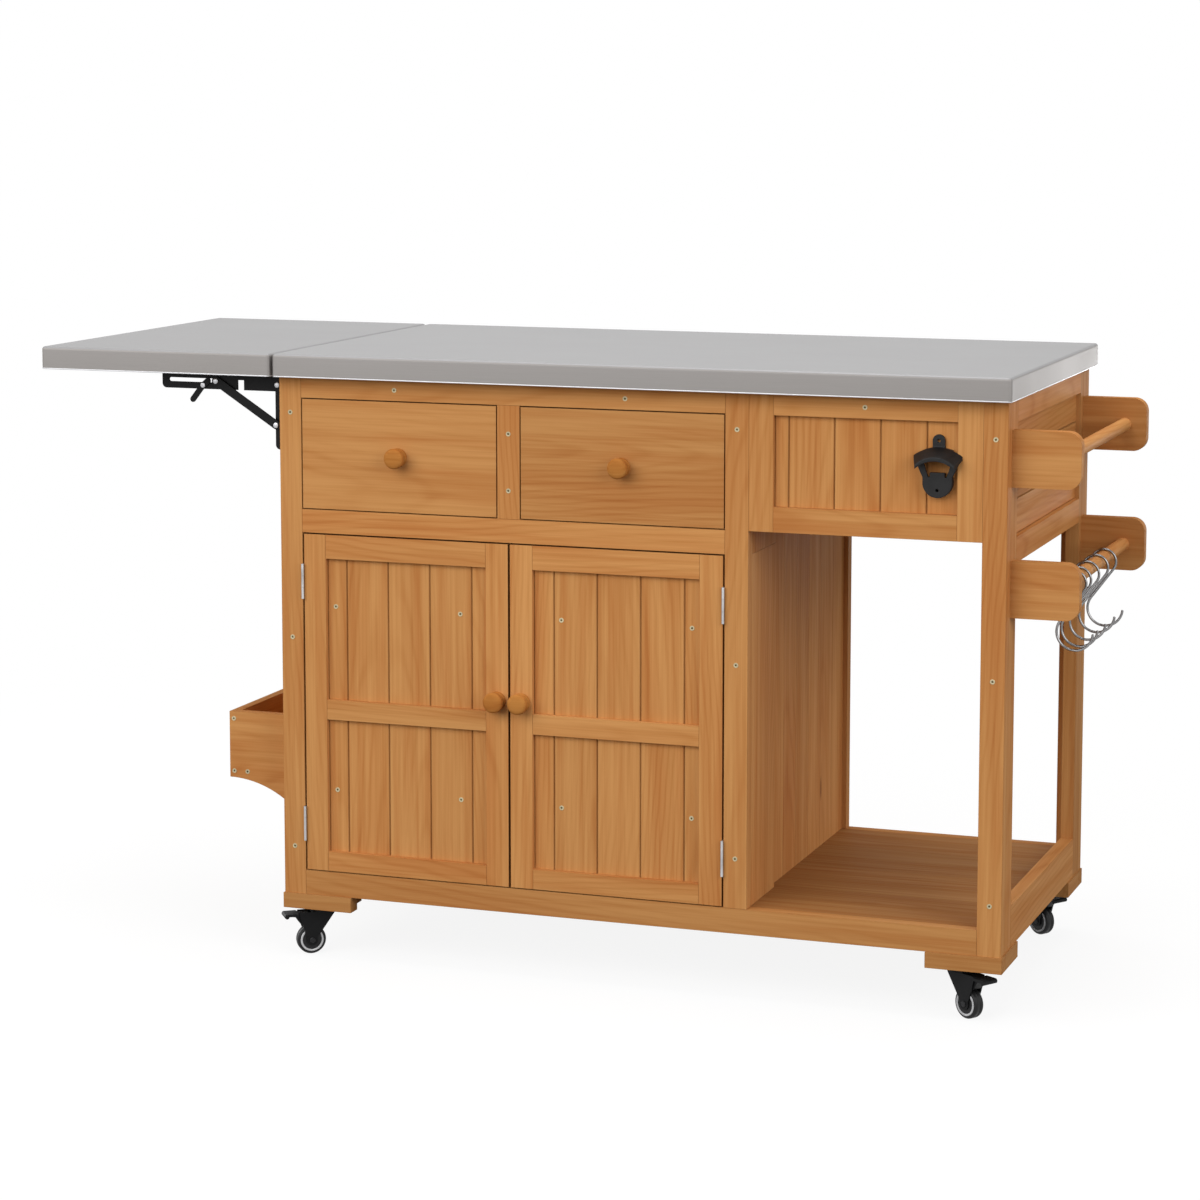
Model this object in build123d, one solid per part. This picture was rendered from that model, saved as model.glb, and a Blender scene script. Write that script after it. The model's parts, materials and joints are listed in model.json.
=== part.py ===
from build123d import *
import os
from math import acos, asin, atan2, cos, degrees, hypot, radians, sin, sqrt

# Outdoor kitchen cart: wooden carcass on casters, steel worktop with a folding leaf.
# Millimetres, +X right along the front, +Y to the back, +Z up, floor at Z = 0.

# Worktop and folding leaf
worktop_height = 914.0
worktop_length = 1110.0
worktop_depth = 600.0
worktop_thickness = 34.0
worktop_edge_radius = 5.0
skin_thickness = 1.0
core_corner_ease = 0.5
leaf_length = 380.0
leaf_gap = 4.0
overhang_left = 1.0
overhang_right = 9.0
overhang_front = 24.0
overhang_back = 24.0

# Carcass frame
stile_width = 35.0
stile_thickness = 20.0
side_stile_width = 40.0
side_frame_thickness = 20.0
cabinet_opening = 658.0
foot_height = 23.0
base_rail_height = 37.0
top_rail_height = 32.0
drawer_rail_height = 35.0
drawer_opening_height = 166.0
side_top_rail_height = 35.0
side_base_rail_height = 60.0
side_apron_rail_height = 37.0
inner_rail_thickness = 20.0
inner_rail_height = 40.0

# Matched boards
board_pitch = 66.5
board_thickness = 9.0
board_recess = 7.0
board_groove = 1.2
board_gap = 0.4
door_first_board = 31.0
bay_first_board = 20.5
apron_first_board = 50.0
divider_stile_depth = 118.0
floor_thickness = 14.0
cleat_size = 20.0

# Cabinet shelf, drawers and doors
shelf_thickness = 16.0
shelf_setback = 60.0
shelf_height = 388.0
drawer_gap = 1.5
drawer_front_thickness = 18.0
drawer_side_thickness = 12.0
drawer_side_clearance = 8.0
drawer_lift = 8.0
drawer_box_height = 110.0
drawer_box_depth = 400.0
drawer_bottom_thickness = 6.0
drawer_bottom_rise = 8.0
runner_clearance = 0.3
runner_width = 36.0
guide_clearance = 1.0
guide_height = 30.0
door_thickness = 20.0
door_side_gap = 2.4
door_middle_gap = 3.0
door_top_gap = 2.0
door_bottom_gap = 1.5
door_stile_width = 35.0
door_top_rail_height = 36.0
door_middle_rail_height = 30.0
door_bottom_rail_height = 30.0
door_lower_panel_height = 201.0
batten_height = 30.0
batten_thickness = 10.0

# Door hinges and catches
hinge_height = 52.5
hinge_end_distance = 71.0
hinge_barrel_radius = 2.2
hinge_pin_radius = 1.0
hinge_pin_clearance = 0.1
hinge_leaf_thickness = 1.0
hinge_leaf_width = 17.0
hinge_barrel_stand_off = 3.0
knuckle_gap = 0.3
catch_width = 16.0
catch_depth = 15.0
catch_reach = 15.0
catch_clearance = 0.4
strike_thickness = 1.0
strike_height = 18.0

# Knobs
knob_projection = 23.0
knob_head_radius = 15.0
knob_neck_radius = 9.0
knob_base_radius = 14.0
knob_base_height = 4.0
knob_head_height = 12.0
knob_dome_height = 4.0
knob_rim_radius = 4.0
door_knob_inset = 17.5
door_knob_rise = 31.5

# Front apron of the open bay and its bottle opener
bay_stile_width = 36.0
bay_rail_height = 36.0
opener_width = 70.0
opener_height = 88.0
opener_depth = 29.5
opener_plate_thickness = 4.0
opener_tab_width = 18.0
opener_lobe_width = 42.0
opener_lobe_depth = 12.0
opener_lobe_rise = 7.5
opener_hood_thickness = 6.0
opener_hood_rise = 11.5
opener_hood_drop = 11.5
opener_hood_front_width = 56.0
opener_cheek_width = 10.0
opener_cheek_inset = 2.0
opener_cheek_drop = 4.5
opener_cheek_rise = 6.0
opener_side_distance = 63.5
opener_top_drop = 18.0
opener_hole_radius = 2.2
opener_clearance = 0.5
opener_tongue_width = 21.0
opener_tongue_height = 7.0

# Rails on the right side
bar_bracket_reach = 97.0
bar_bracket_height = 80.0
bar_bracket_thickness = 18.0
bar_bracket_corner_radius = 20.0
bar_upper_drop = 42.5
bar_lower_drop = 225.0
bar_radius = 10.0
bar_stand_off = 64.0
bar_bracket_inset = 24.0

# Steel hooks on the lower rail
hook_wire_radius = 1.9
hook_upper_radius = 18.0
hook_lower_radius = 26.0
hook_centre_drop = 70.0
hook_centre_offset = 2.7
hook_clearance = 0.3
hook_tip_angle = 188.0
hook_toe_angle = 354.0
hook_distances = (104.0, 138.0, 196.0, 263.0, 324.0)

# Spice rack on the left side
rack_width = 109.0
rack_top_height = 360.0
rack_slat_height = 102.0
rack_board_thickness = 15.0
rack_floor_thickness = 12.0
rack_floor_rise = 4.0
rack_arc_radius = 160.0
rack_heel = 7.0
rack_end_inset = 40.0

# Folding leaf brackets
bracket_inset = 50.0
bracket_plate = 2.0
bracket_play = 0.3
bracket_flange = 16.0
bracket_flange_gap = 0.2
arm_length = 191.0
arm_drop = 27.0
arm_end_radius = 7.0
wall_arm_height = 112.0
wall_arm_width = 20.0
leaf_pivot_drop = 17.0
leaf_pivot_stand_off = 15.5
strut_pivot_drop = 77.0
strut_pivot_stand_off = 16.0
strut_pin_reach = 115.0
strut_pin_drop = 14.0
strut_width = 13.0
slot_height = 6.0
slot_end_play = 2.0
rivet_radius = 3.0
rivet_head_radius = 4.5
rivet_clearance = 0.1
rivet_head_height = 0.9
notch_width = 10.0
lever_pivot_reach = 138.0
lever_pivot_drop = 21.5
lever_pin_radius = 2.0
lever_tail = 27.0
lever_hook = 11.0
lever_width = 9.0
lever_tail_angle = 232.0
lever_hook_angle = 40.0

# Feet and casters
caster_height = 74.0
foot_proud = 2.0
foot_strip_length = 111.0
foot_side_length = 102.0
foot_strip_width = 24.0
foot_block_length = 72.0
foot_block_width = 50.0
caster_inset_left = 46.0
caster_inset_right = 66.0
caster_inset_end = 36.0
caster_plate_size = 44.0
caster_plate_thickness = 2.5
swivel_clearance = 0.3
kingpin_radius = 4.0
race_radius = 17.0
race_height = 6.0
crown_thickness = 3.0
fork_plate_thickness = 2.0
fork_back_reach = 15.0
fork_front_reach = 38.0
wheel_radius = 22.0
wheel_width = 17.0
wheel_side_clearance = 0.5
wheel_edge_radius = 4.0
wheel_ring_outer_radius = 18.0
wheel_ring_inner_radius = 14.5
wheel_ring_depth = 0.6
wheel_trail = 19.0
axle_radius = 3.0
axle_clearance = 0.1
axle_boss_radius = 8.5
pedal_pivot_reach = 28.0
pedal_pivot_drop = 2.0
pedal_pin_radius = 2.0
pedal_length = 30.0
pedal_thickness = 4.0
pedal_pad_width = 26.0
pedal_bar_radius = 3.5
pedal_shoe_drop = 15.0
caster_angles = {"front_left": 217.0, "front_right": -33.0, "rear_right": -34.0, "rear_left": 135.0}

# Screw heads
screw_radius = 4.0
screw_height = 0.8
screw_recess_radius = 1.7
screw_recess_depth = 0.4
stile_screw_top = 54.0
stile_screw_bottom = 73.0
rail_screw_distance = 150.0
rack_screw_inset = 11.0

# Datum planes worked out from the sizes above
overall_length = leaf_length + leaf_gap + worktop_length - overhang_right + bar_bracket_reach
leaf_x0 = -overall_length / 2
leaf_x1 = leaf_x0 + leaf_length
top_x0 = leaf_x1 + leaf_gap
top_x1 = top_x0 + worktop_length
top_y0 = -worktop_depth / 2
top_y1 = worktop_depth / 2
top_z0 = worktop_height - worktop_thickness
frame_x0 = top_x0 + overhang_left
frame_x1 = top_x1 - overhang_right
frame_y0 = top_y0 + overhang_front
frame_y1 = top_y1 - overhang_back
frame_z0 = caster_height + foot_height
frame_z1 = top_z0
inner_y0 = frame_y0 + stile_thickness
inner_y1 = frame_y1 - stile_thickness
side_y0 = inner_y0 + side_stile_width
side_y1 = inner_y1 - side_stile_width
cabinet_x0 = frame_x0 + stile_width
cabinet_x1 = cabinet_x0 + cabinet_opening
bay_x0 = cabinet_x1 + stile_width
bay_x1 = frame_x1 - stile_width
cabinet_middle = (cabinet_x0 + cabinet_x1) / 2
inside_x0 = frame_x0 + side_frame_thickness
inside_x1 = bay_x0 - side_frame_thickness
floor_z = frame_z0 + base_rail_height
drawer_z1 = frame_z1 - top_rail_height
drawer_z0 = drawer_z1 - drawer_opening_height
drawer_rail_z0 = drawer_z0 - drawer_rail_height
runner_z1 = drawer_z0 + drawer_lift - runner_clearance
runner_z0 = runner_z1 - cleat_size
runner_y1 = frame_y1 - board_recess - board_thickness - inner_rail_thickness
drawer_middle_z = (drawer_z0 + drawer_z1) / 2


def block(x0, x1, y0, y1, z0, z1):
    """A box between two corners."""
    corner = (Align.MIN, Align.MIN, Align.MIN)
    return Pos(x0, y0, z0) * Box(x1 - x0, y1 - y0, z1 - z0, align=corner)


def rod(start, end, radius):
    """A round bar from one point to another."""
    line = Vector(*end) - Vector(*start)
    plane = Plane(origin=start, z_dir=line)
    return plane * Cylinder(radius, line.length, align=(Align.CENTER, Align.CENTER, Align.MIN))


def front_plate(outline, y0, y1):
    """A plate from an outline drawn in X and Z."""
    return extrude(Plane.XZ.offset(-y1) * outline, amount=y1 - y0)


def mirrored_back(piece):
    """The same piece at the back of the cart."""
    return mirror(piece, about=Plane.XZ)


def splits(start, stop, first):
    """Board edges between two ends: the first board, then whole ones, then what is left."""
    edges = [start, start + first]
    while edges[-1] + board_pitch < stop - board_pitch / 4:
        edges.append(edges[-1] + board_pitch)
    return list(zip(edges, edges[1:] + [stop]))


def grooved(board, length_axis, face_axis, group):
    """A board whose two long edges on the seen face are chamfered, so that neighbours make a V groove."""
    return chamfer(board.edges().filter_by(length_axis).group_by(face_axis)[group], board_groove)


def upright_boards(x0, x1, y0, z0, z1, first, group):
    """Vertical boards side by side along X, their thickness going back from y0."""
    boards = []
    for low, high in splits(x0, x1, first):
        start = low if low == x0 else low + board_gap
        board = block(start, high, y0, y0 + board_thickness, z0, z1)
        boards.append(grooved(board, Axis.Z, Axis.Y, group))
    return boards


# Worktop and leaf

def steel_pan(x0, x1):
    """The folded steel cover of a slab: a top and four sides, open below."""
    outer = block(x0, x1, top_y0, top_y1, top_z0, worktop_height)
    round_edges = outer.edges().filter_by(Axis.Z) + outer.edges().group_by(Axis.Z)[-1]
    outer = fillet(round_edges, worktop_edge_radius)
    return outer - slab(x0, x1, worktop_edge_radius - skin_thickness)


def slab(x0, x1, edge_radius):
    """The space inside a steel pan."""
    wall = skin_thickness
    inner = block(x0 + wall, x1 - wall, top_y0 + wall, top_y1 - wall, top_z0, worktop_height - wall)
    round_edges = inner.edges().filter_by(Axis.Z) + inner.edges().group_by(Axis.Z)[-1]
    return fillet(round_edges, edge_radius)


core_radius = worktop_edge_radius - skin_thickness + core_corner_ease


# Carcass

def stiles():
    """The six upright members, in pairs at the front and back, with the middle pair on the base rails."""
    pieces = []
    for y0, y1 in ((frame_y0, inner_y0), (inner_y1, frame_y1)):
        pieces.append(block(frame_x0, cabinet_x0, y0, y1, frame_z0, frame_z1))
        pieces.append(block(cabinet_x1, bay_x0, y0, y1, floor_z, frame_z1))
        pieces.append(block(bay_x1, frame_x1, y0, y1, frame_z0, frame_z1))
    return pieces


def side_stiles():
    """The side members behind each corner stile."""
    pieces = []
    for x0, x1 in ((frame_x0, inside_x0), (frame_x1 - side_frame_thickness, frame_x1)):
        for y0, y1 in ((inner_y0, side_y0), (side_y1, inner_y1)):
            pieces.append(block(x0, x1, y0, y1, frame_z0, frame_z1))
    return pieces


def front_rails():
    """Cabinet top rail, drawer rail and base rail of the front, and the upright between the drawers."""
    half = stile_width / 2
    return [
        block(cabinet_x0, cabinet_x1, frame_y0, inner_y0, drawer_z1, frame_z1),
        block(cabinet_x0, cabinet_x1, frame_y0, inner_y0, drawer_rail_z0, drawer_z0),
        block(cabinet_x0, bay_x1, frame_y0, inner_y0, frame_z0, floor_z),
        block(cabinet_middle - half, cabinet_middle + half, frame_y0, inner_y0, drawer_z0, drawer_z1),
    ]


def rear_rails():
    """Top and base rails of the back, the bay's rear rail and the rail that carries the runners."""
    back_boards_y0 = frame_y1 - board_recess - board_thickness
    return [
        block(cabinet_x0, cabinet_x1, inner_y1, frame_y1, drawer_z1, frame_z1),
        block(bay_x0, bay_x1, inner_y1, frame_y1, drawer_z1, frame_z1),
        block(bay_x0, bay_x1, inner_y1, frame_y1, drawer_rail_z0, drawer_z0),
        block(cabinet_x0, bay_x1, inner_y1, frame_y1, frame_z0, floor_z),
        block(cabinet_x0, cabinet_x1, runner_y1, back_boards_y0, runner_z1 - inner_rail_height, runner_z1),
    ]


def left_side_panel():
    """Top and base rails of the left side with vertical boards between them."""
    z0 = frame_z0 + side_base_rail_height
    z1 = frame_z1 - side_top_rail_height
    pieces = [
        block(frame_x0, inside_x0, side_y0, side_y1, z1, frame_z1),
        block(frame_x0, inside_x0, side_y0, side_y1, frame_z0, z0),
    ]
    x0 = frame_x0 + board_recess
    for low, high in splits(side_y0, side_y1, board_pitch):
        start = low if low == side_y0 else low + board_gap
        board = block(x0, x0 + board_thickness, start, high, z0, z1)
        pieces.append(grooved(board, Axis.Z, Axis.X, 0))
    return pieces


def right_side_apron():
    """Rails of the open right side, and horizontal boards in its upper frame."""
    x0 = frame_x1 - side_frame_thickness
    z0 = drawer_rail_z0 + side_apron_rail_height
    z1 = frame_z1 - side_top_rail_height
    pieces = [
        block(x0, frame_x1, side_y0, side_y1, z1, frame_z1),
        block(x0, frame_x1, side_y0, side_y1, drawer_rail_z0, z0),
        block(x0, frame_x1, side_y0, side_y1, frame_z0, frame_z0 + side_base_rail_height),
    ]
    face_x = frame_x1 - board_recess
    for low, high in splits(z0, z1, apron_first_board):
        start = low if low == z0 else low + board_gap
        board = block(face_x - board_thickness, face_x, side_y0, side_y1, start, high)
        pieces.append(grooved(board, Axis.Y, Axis.X, -1))
    return pieces


def divider_panel():
    """Wall between the cabinet and the bay: a broad front member, its top block, and plain boards."""
    y0 = inner_y0 + divider_stile_depth
    pieces = [
        block(inside_x1, bay_x0, inner_y0, y0, floor_z, drawer_rail_z0),
        block(inside_x1, bay_x0, inner_y0, y0, drawer_rail_z0, frame_z1),
    ]
    face_x = bay_x0 - board_recess
    for low, high in splits(y0, inner_y1, board_pitch):
        pieces.append(block(face_x - board_thickness, face_x, low, high, floor_z, frame_z1))
    return pieces


def back_panel():
    """Vertical boards that close the back of the cabinet."""
    y1 = frame_y1 - board_recess
    return upright_boards(cabinet_x0, cabinet_x1, y1 - board_thickness, floor_z, drawer_z1, board_pitch, -1)


def floor_boards():
    """Boards along the whole base, on a cleat behind each base rail."""
    x1 = frame_x1 - side_frame_thickness
    z0 = floor_z - floor_thickness
    pieces = [block(inside_x0, x1, y0, y1, z0, floor_z) for y0, y1 in splits(inner_y0, inner_y1, board_pitch)]
    pieces.append(block(cabinet_x0, bay_x1, inner_y0, inner_y0 + cleat_size, z0 - cleat_size, z0))
    pieces.append(block(cabinet_x0, bay_x1, inner_y1 - cleat_size, inner_y1, z0 - cleat_size, z0))
    return pieces


def cabinet_shelf():
    """The shelf and the two cleats under it."""
    y0 = frame_y0 + shelf_setback
    z0 = shelf_height - cleat_size
    return [
        block(inside_x0, inside_x1, y0, inner_y1, shelf_height, shelf_height + shelf_thickness),
        block(inside_x0, inside_x0 + cleat_size, inner_y0, inner_y1, z0, shelf_height),
        block(inside_x1 - cleat_size, inside_x1, inner_y0, inner_y0 + divider_stile_depth, z0, shelf_height),
    ]


def drawer_runners():
    """Three runners under the drawers, each with a guide beside the drawer sides."""
    left_guide = cabinet_x0 + drawer_side_clearance - guide_clearance
    right_guide = cabinet_x1 - drawer_side_clearance + guide_clearance
    half = stile_width / 2 + drawer_side_clearance
    guide_half = half - guide_clearance
    centre_half = half + drawer_side_thickness
    strips = (
        (inside_x0, inside_x0 + runner_width, inside_x0, left_guide),
        (cabinet_middle - centre_half, cabinet_middle + centre_half,
         cabinet_middle - guide_half, cabinet_middle + guide_half),
        (inside_x1 - runner_width, inside_x1, right_guide, inside_x1),
    )
    pieces = []
    for x0, x1, guide_x0, guide_x1 in strips:
        pieces.append(block(x0, x1, inner_y0, runner_y1, runner_z0, runner_z1))
        pieces.append(block(guide_x0, guide_x1, inner_y0, runner_y1, runner_z1, runner_z1 + guide_height))
    return pieces


def bay_apron():
    """Frame under the worktop at the front of the bay, with vertical boards set back in it."""
    x0 = bay_x0 + bay_stile_width
    x1 = bay_x1 - bay_stile_width
    pieces = [
        block(bay_x0, x0, frame_y0, inner_y0, drawer_z0, frame_z1),
        block(x1, bay_x1, frame_y0, inner_y0, drawer_z0, frame_z1),
        block(x0, x1, frame_y0, inner_y0, drawer_z1, frame_z1),
        block(x0, x1, frame_y0, inner_y0, drawer_z0, drawer_z0 + bay_rail_height),
    ]
    face_y = frame_y0 + board_recess
    z0 = drawer_z0 + bay_rail_height
    return pieces + upright_boards(x0, x1, face_y, z0, drawer_z1, bay_first_board, 0)


# Drawers

def drawer_front(x0, x1):
    gap = drawer_gap
    back_y = frame_y0 + drawer_front_thickness
    return block(x0 + gap, x1 - gap, frame_y0, back_y, drawer_z0 + gap, drawer_z1 - gap)


def drawer_box(x0, x1):
    """Two sides, a back and a bottom behind the drawer front."""
    left = x0 + drawer_side_clearance
    right = x1 - drawer_side_clearance
    wall = drawer_side_thickness
    y0 = frame_y0 + drawer_front_thickness
    y1 = y0 + drawer_box_depth
    z0 = drawer_z0 + drawer_lift
    z1 = z0 + drawer_box_height
    bottom_z = z0 + drawer_bottom_rise
    return [
        block(left, left + wall, y0, y1, z0, z1),
        block(right - wall, right, y0, y1, z0, z1),
        block(left + wall, right - wall, y1 - wall, y1, z0, z1),
        block(left + wall, right - wall, y0, y1 - wall, bottom_z, bottom_z + drawer_bottom_thickness),
    ]


def knob(x, z):
    """A turned mushroom knob standing out of the front."""
    head_z = knob_projection - knob_head_height
    rim_z = head_z + knob_rim_radius
    shoulder_z = knob_projection - knob_dome_height
    rim_x = knob_head_radius - knob_rim_radius
    diagonal = knob_rim_radius * sqrt(0.5)
    dome_radius = (knob_head_radius ** 2 + knob_dome_height ** 2) / (2 * knob_dome_height)
    half_angle = asin(knob_head_radius / dome_radius) / 2
    dome_middle = (dome_radius * sin(half_angle), knob_projection - dome_radius * (1 - cos(half_angle)))
    profile = make_face([
        Line((0, 0), (knob_base_radius, 0)),
        Line((knob_base_radius, 0), (knob_base_radius, knob_base_height)),
        Line((knob_base_radius, knob_base_height), (knob_neck_radius, head_z)),
        Line((knob_neck_radius, head_z), (rim_x, head_z)),
        ThreePointArc((rim_x, head_z), (rim_x + diagonal, rim_z - diagonal), (knob_head_radius, rim_z)),
        Line((knob_head_radius, rim_z), (knob_head_radius, shoulder_z)),
        ThreePointArc((knob_head_radius, shoulder_z), dome_middle, (0, knob_projection)),
        Line((0, knob_projection), (0, 0)),
    ])
    turned = revolve(Plane.XZ * profile, Axis.Z)
    return Pos(x, frame_y0, z) * Rot(90, 0, 0) * turned


# Doors

door_width = (cabinet_opening - 2 * door_side_gap - door_middle_gap) / 2
door_z0 = floor_z + door_bottom_gap
door_z1 = drawer_rail_z0 - door_top_gap
door_middle_z = door_z0 + door_bottom_rail_height + door_lower_panel_height + door_middle_rail_height / 2
door_x = {
    "left": (cabinet_x0 + door_side_gap, cabinet_x0 + door_side_gap + door_width),
    "right": (cabinet_x1 - door_side_gap - door_width, cabinet_x1 - door_side_gap),
}
upper_panel = (door_middle_z + door_middle_rail_height / 2, door_z1 - door_top_rail_height)
lower_panel = (door_z0 + door_bottom_rail_height, door_middle_z - door_middle_rail_height / 2)


def door_frame(side):
    """Two stiles and three rails."""
    x0, x1 = door_x[side]
    left = x0 + door_stile_width
    right = x1 - door_stile_width
    y1 = frame_y0 + door_thickness
    return [
        block(x0, left, frame_y0, y1, door_z0, door_z1),
        block(right, x1, frame_y0, y1, door_z0, door_z1),
        block(left, right, frame_y0, y1, upper_panel[1], door_z1),
        block(left, right, frame_y0, y1, lower_panel[1], upper_panel[0]),
        block(left, right, frame_y0, y1, door_z0, lower_panel[0]),
    ]


def door_boards(side):
    """Boards above and below the middle rail, each set held by a batten behind it."""
    x0, x1 = door_x[side]
    left = x0 + door_stile_width
    right = x1 - door_stile_width
    face_y = frame_y0 + board_recess
    batten_y = face_y + board_thickness
    pieces = []
    for z0, z1 in (upper_panel, lower_panel):
        pieces += upright_boards(left, right, face_y, z0, z1, door_first_board, 0)
        middle = (z0 + z1) / 2
        low = middle - batten_height / 2
        pieces.append(block(left, right, batten_y, batten_y + batten_thickness, low, low + batten_height))
    return pieces


hinge_y = frame_y0 - hinge_barrel_stand_off
hinge_x = {"left": cabinet_x0 + door_side_gap / 2, "right": cabinet_x1 - door_side_gap / 2}
hinge_centres = (door_z1 - hinge_end_distance, door_z0 + hinge_end_distance)


def knuckle(x, z0, z1, bore):
    """One rolled part of a hinge barrel."""
    barrel = rod((x, hinge_y, z0), (x, hinge_y, z1), hinge_barrel_radius)
    if bore:
        barrel -= rod((x, hinge_y, z0), (x, hinge_y, z1), hinge_pin_radius + hinge_pin_clearance)
    return barrel


def hinge_leaf(x, x0, x1, spans, z_middle, bore):
    """A hinge leaf: a plate in the gap beside the door, with its knuckles in front."""
    z0 = z_middle - hinge_height / 2
    y0 = hinge_y + hinge_barrel_radius + knuckle_gap
    leaf = block(x0, x1, y0, y0 + hinge_leaf_width, z0, z0 + hinge_height)
    for low, high in spans:
        leaf += block(x0, x1, hinge_y + hinge_pin_radius + hinge_leaf_thickness, y0, z0 + low, z0 + high)
        leaf += knuckle(x, z0 + low, z0 + high, bore)
    return leaf


def frame_hinges():
    """The fixed leaves on the stiles, with the hinge pins."""
    third = hinge_height / 3
    pieces = []
    for side, direction in (("left", -1), ("right", 1)):
        x = hinge_x[side]
        wall = x + direction * door_side_gap / 2
        faces = sorted((wall, wall - direction * hinge_leaf_thickness))
        for z in hinge_centres:
            spans = ((0, third - knuckle_gap), (2 * third + knuckle_gap, hinge_height))
            leaf = hinge_leaf(x, *faces, spans, z, False)
            pin_z = z - hinge_height / 2
            leaf += rod((x, hinge_y, pin_z), (x, hinge_y, pin_z + hinge_height), hinge_pin_radius)
            pieces.append(leaf)
    return pieces


def catches():
    """The door catches, hung from the middle runner, one behind each door's free edge."""
    y0 = frame_y0 + door_thickness + strike_thickness + catch_clearance
    z0 = door_z1 - catch_reach
    pieces = []
    for low in (cabinet_middle - door_middle_gap / 2 - catch_width, cabinet_middle + door_middle_gap / 2):
        pieces.append(block(low, low + catch_width, y0, y0 + catch_depth, z0, runner_z0))
    return pieces


def door_hardware(side):
    """The moving hinge leaves of a door, and the strike plate for its catch."""
    third = hinge_height / 3
    direction = 1 if side == "left" else -1
    x = hinge_x[side]
    edge = x + direction * door_side_gap / 2
    faces = sorted((edge, edge - direction * hinge_leaf_thickness))
    pieces = [hinge_leaf(x, *faces, ((third, 2 * third),), z, True) for z in hinge_centres]
    free_edge = cabinet_middle - direction * door_middle_gap / 2
    strike_x = sorted((free_edge, free_edge - direction * catch_width))
    y0 = frame_y0 + door_thickness
    pieces.append(block(*strike_x, y0, y0 + strike_thickness, door_z1 - strike_height, door_z1))
    return pieces


def door_knob(side):
    x0, x1 = door_x[side]
    x = x1 - door_knob_inset if side == "left" else x0 + door_knob_inset
    return knob(x, door_middle_z + door_knob_rise)


# Bottle opener

def hood_arch(x, half, z):
    """The section of the opener's hood: an arched band whose ends are at the given height."""
    top = z + opener_hood_rise
    low = z - opener_hood_thickness
    return make_face([
        ThreePointArc((x - half, z), (x, top), (x + half, z)),
        Line((x + half, z), (x + half, low)),
        ThreePointArc((x + half, low), (x, top - opener_hood_thickness), (x - half, low)),
        Line((x - half, low), (x - half, z)),
    ])


def bottle_opener():
    """A cast wall opener: fixing tab, sloping hood, two cheeks and a rounded lower lobe with a tongue."""
    wall_y = frame_y0 + board_recess
    hood_y = frame_y0 - opener_clearance
    front_y = wall_y - opener_lobe_depth
    plate_y = wall_y - opener_plate_thickness
    x = bay_x1 - opener_side_distance
    z_top = drawer_z1 - opener_top_drop
    half = opener_width / 2
    front_half = opener_hood_front_width / 2
    tab_r = opener_tab_width / 2
    lobe_r = opener_lobe_width / 2
    hood_z = z_top - opener_tab_width - opener_hood_rise
    lobe_z = z_top - opener_height + lobe_r
    mouth_z = lobe_z + opener_lobe_rise
    tab_z = z_top - tab_r

    tab = Pos(x, tab_z) * Circle(tab_r)
    neck_z = hood_z + opener_hood_rise - opener_hood_thickness / 2
    tab += Pos(x, (tab_z + neck_z) / 2) * Rectangle(opener_tab_width, tab_z - neck_z)
    opener = front_plate(tab, plate_y, wall_y)

    rear = hood_arch(x, half, hood_z)
    front = hood_arch(x, front_half, hood_z - opener_hood_drop)
    opener += front_plate(rear, hood_y, wall_y) & block(x - lobe_r, x + lobe_r, hood_y, wall_y, hood_z, z_top)
    opener += loft([Plane.XZ.offset(-hood_y) * rear, Plane.XZ.offset(opener_depth - wall_y) * front])

    for hand in (-1, 1):
        outer = half - opener_cheek_inset
        top = hood_z - opener_cheek_drop
        cheek = make_face(Polyline(
            (x + hand * outer, top),
            (x + hand * (outer - opener_cheek_width), top + opener_cheek_rise),
            (x + hand * (lobe_r - opener_cheek_width + opener_cheek_inset), mouth_z),
            (x + hand * lobe_r, mouth_z),
            close=True,
        ))
        opener += front_plate(cheek, front_y, hood_y)

    lobe = make_face([
        ThreePointArc((x - lobe_r, lobe_z), (x, lobe_z - lobe_r), (x + lobe_r, lobe_z)),
        Line((x + lobe_r, lobe_z), (x + lobe_r, mouth_z)),
        Line((x + lobe_r, mouth_z), (x - lobe_r, mouth_z)),
        Line((x - lobe_r, mouth_z), (x - lobe_r, lobe_z)),
    ])
    opener += front_plate(lobe, front_y, wall_y)
    tongue_half = opener_tongue_width / 2
    tongue_z = mouth_z + opener_tongue_height
    opener += block(x - tongue_half, x + tongue_half, front_y, plate_y, lobe_z, tongue_z)
    for z in (tab_z, lobe_z - lobe_r / 2):
        opener -= rod((x, wall_y, z), (x, front_y, z), opener_hole_radius)
    return opener


# Rails and hooks on the right side

bar_y0 = frame_y0 + bar_bracket_inset
bar_y1 = frame_y1 - bar_bracket_inset
bar_x = frame_x1 + bar_stand_off
upper_bar_z = frame_z1 - bar_upper_drop - bar_bracket_height / 2
lower_bar_z = frame_z1 - bar_lower_drop - bar_bracket_height / 2


def bar_brackets():
    """Four round-cornered boards that hold the two rails."""
    pieces = []
    for z in (upper_bar_z, lower_bar_z):
        half = bar_bracket_height / 2
        x1 = frame_x1 + bar_bracket_reach
        front = block(frame_x1, x1, bar_y0, bar_y0 + bar_bracket_thickness, z - half, z + half)
        outer = front.edges().filter_by(Axis.Y).group_by(Axis.X)[-1]
        front = fillet(outer, bar_bracket_corner_radius)
        pieces += [front, mirrored_back(front)]
    return pieces


def bar(z):
    y0 = bar_y0 + bar_bracket_thickness
    y1 = bar_y1 - bar_bracket_thickness
    return rod((bar_x, y0, z), (bar_x, y1, z), bar_radius)


hook_top_z = lower_bar_z + bar_radius + hook_clearance + hook_wire_radius
hook_ys = [bar_y0 + bar_bracket_thickness + distance for distance in hook_distances]


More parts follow.
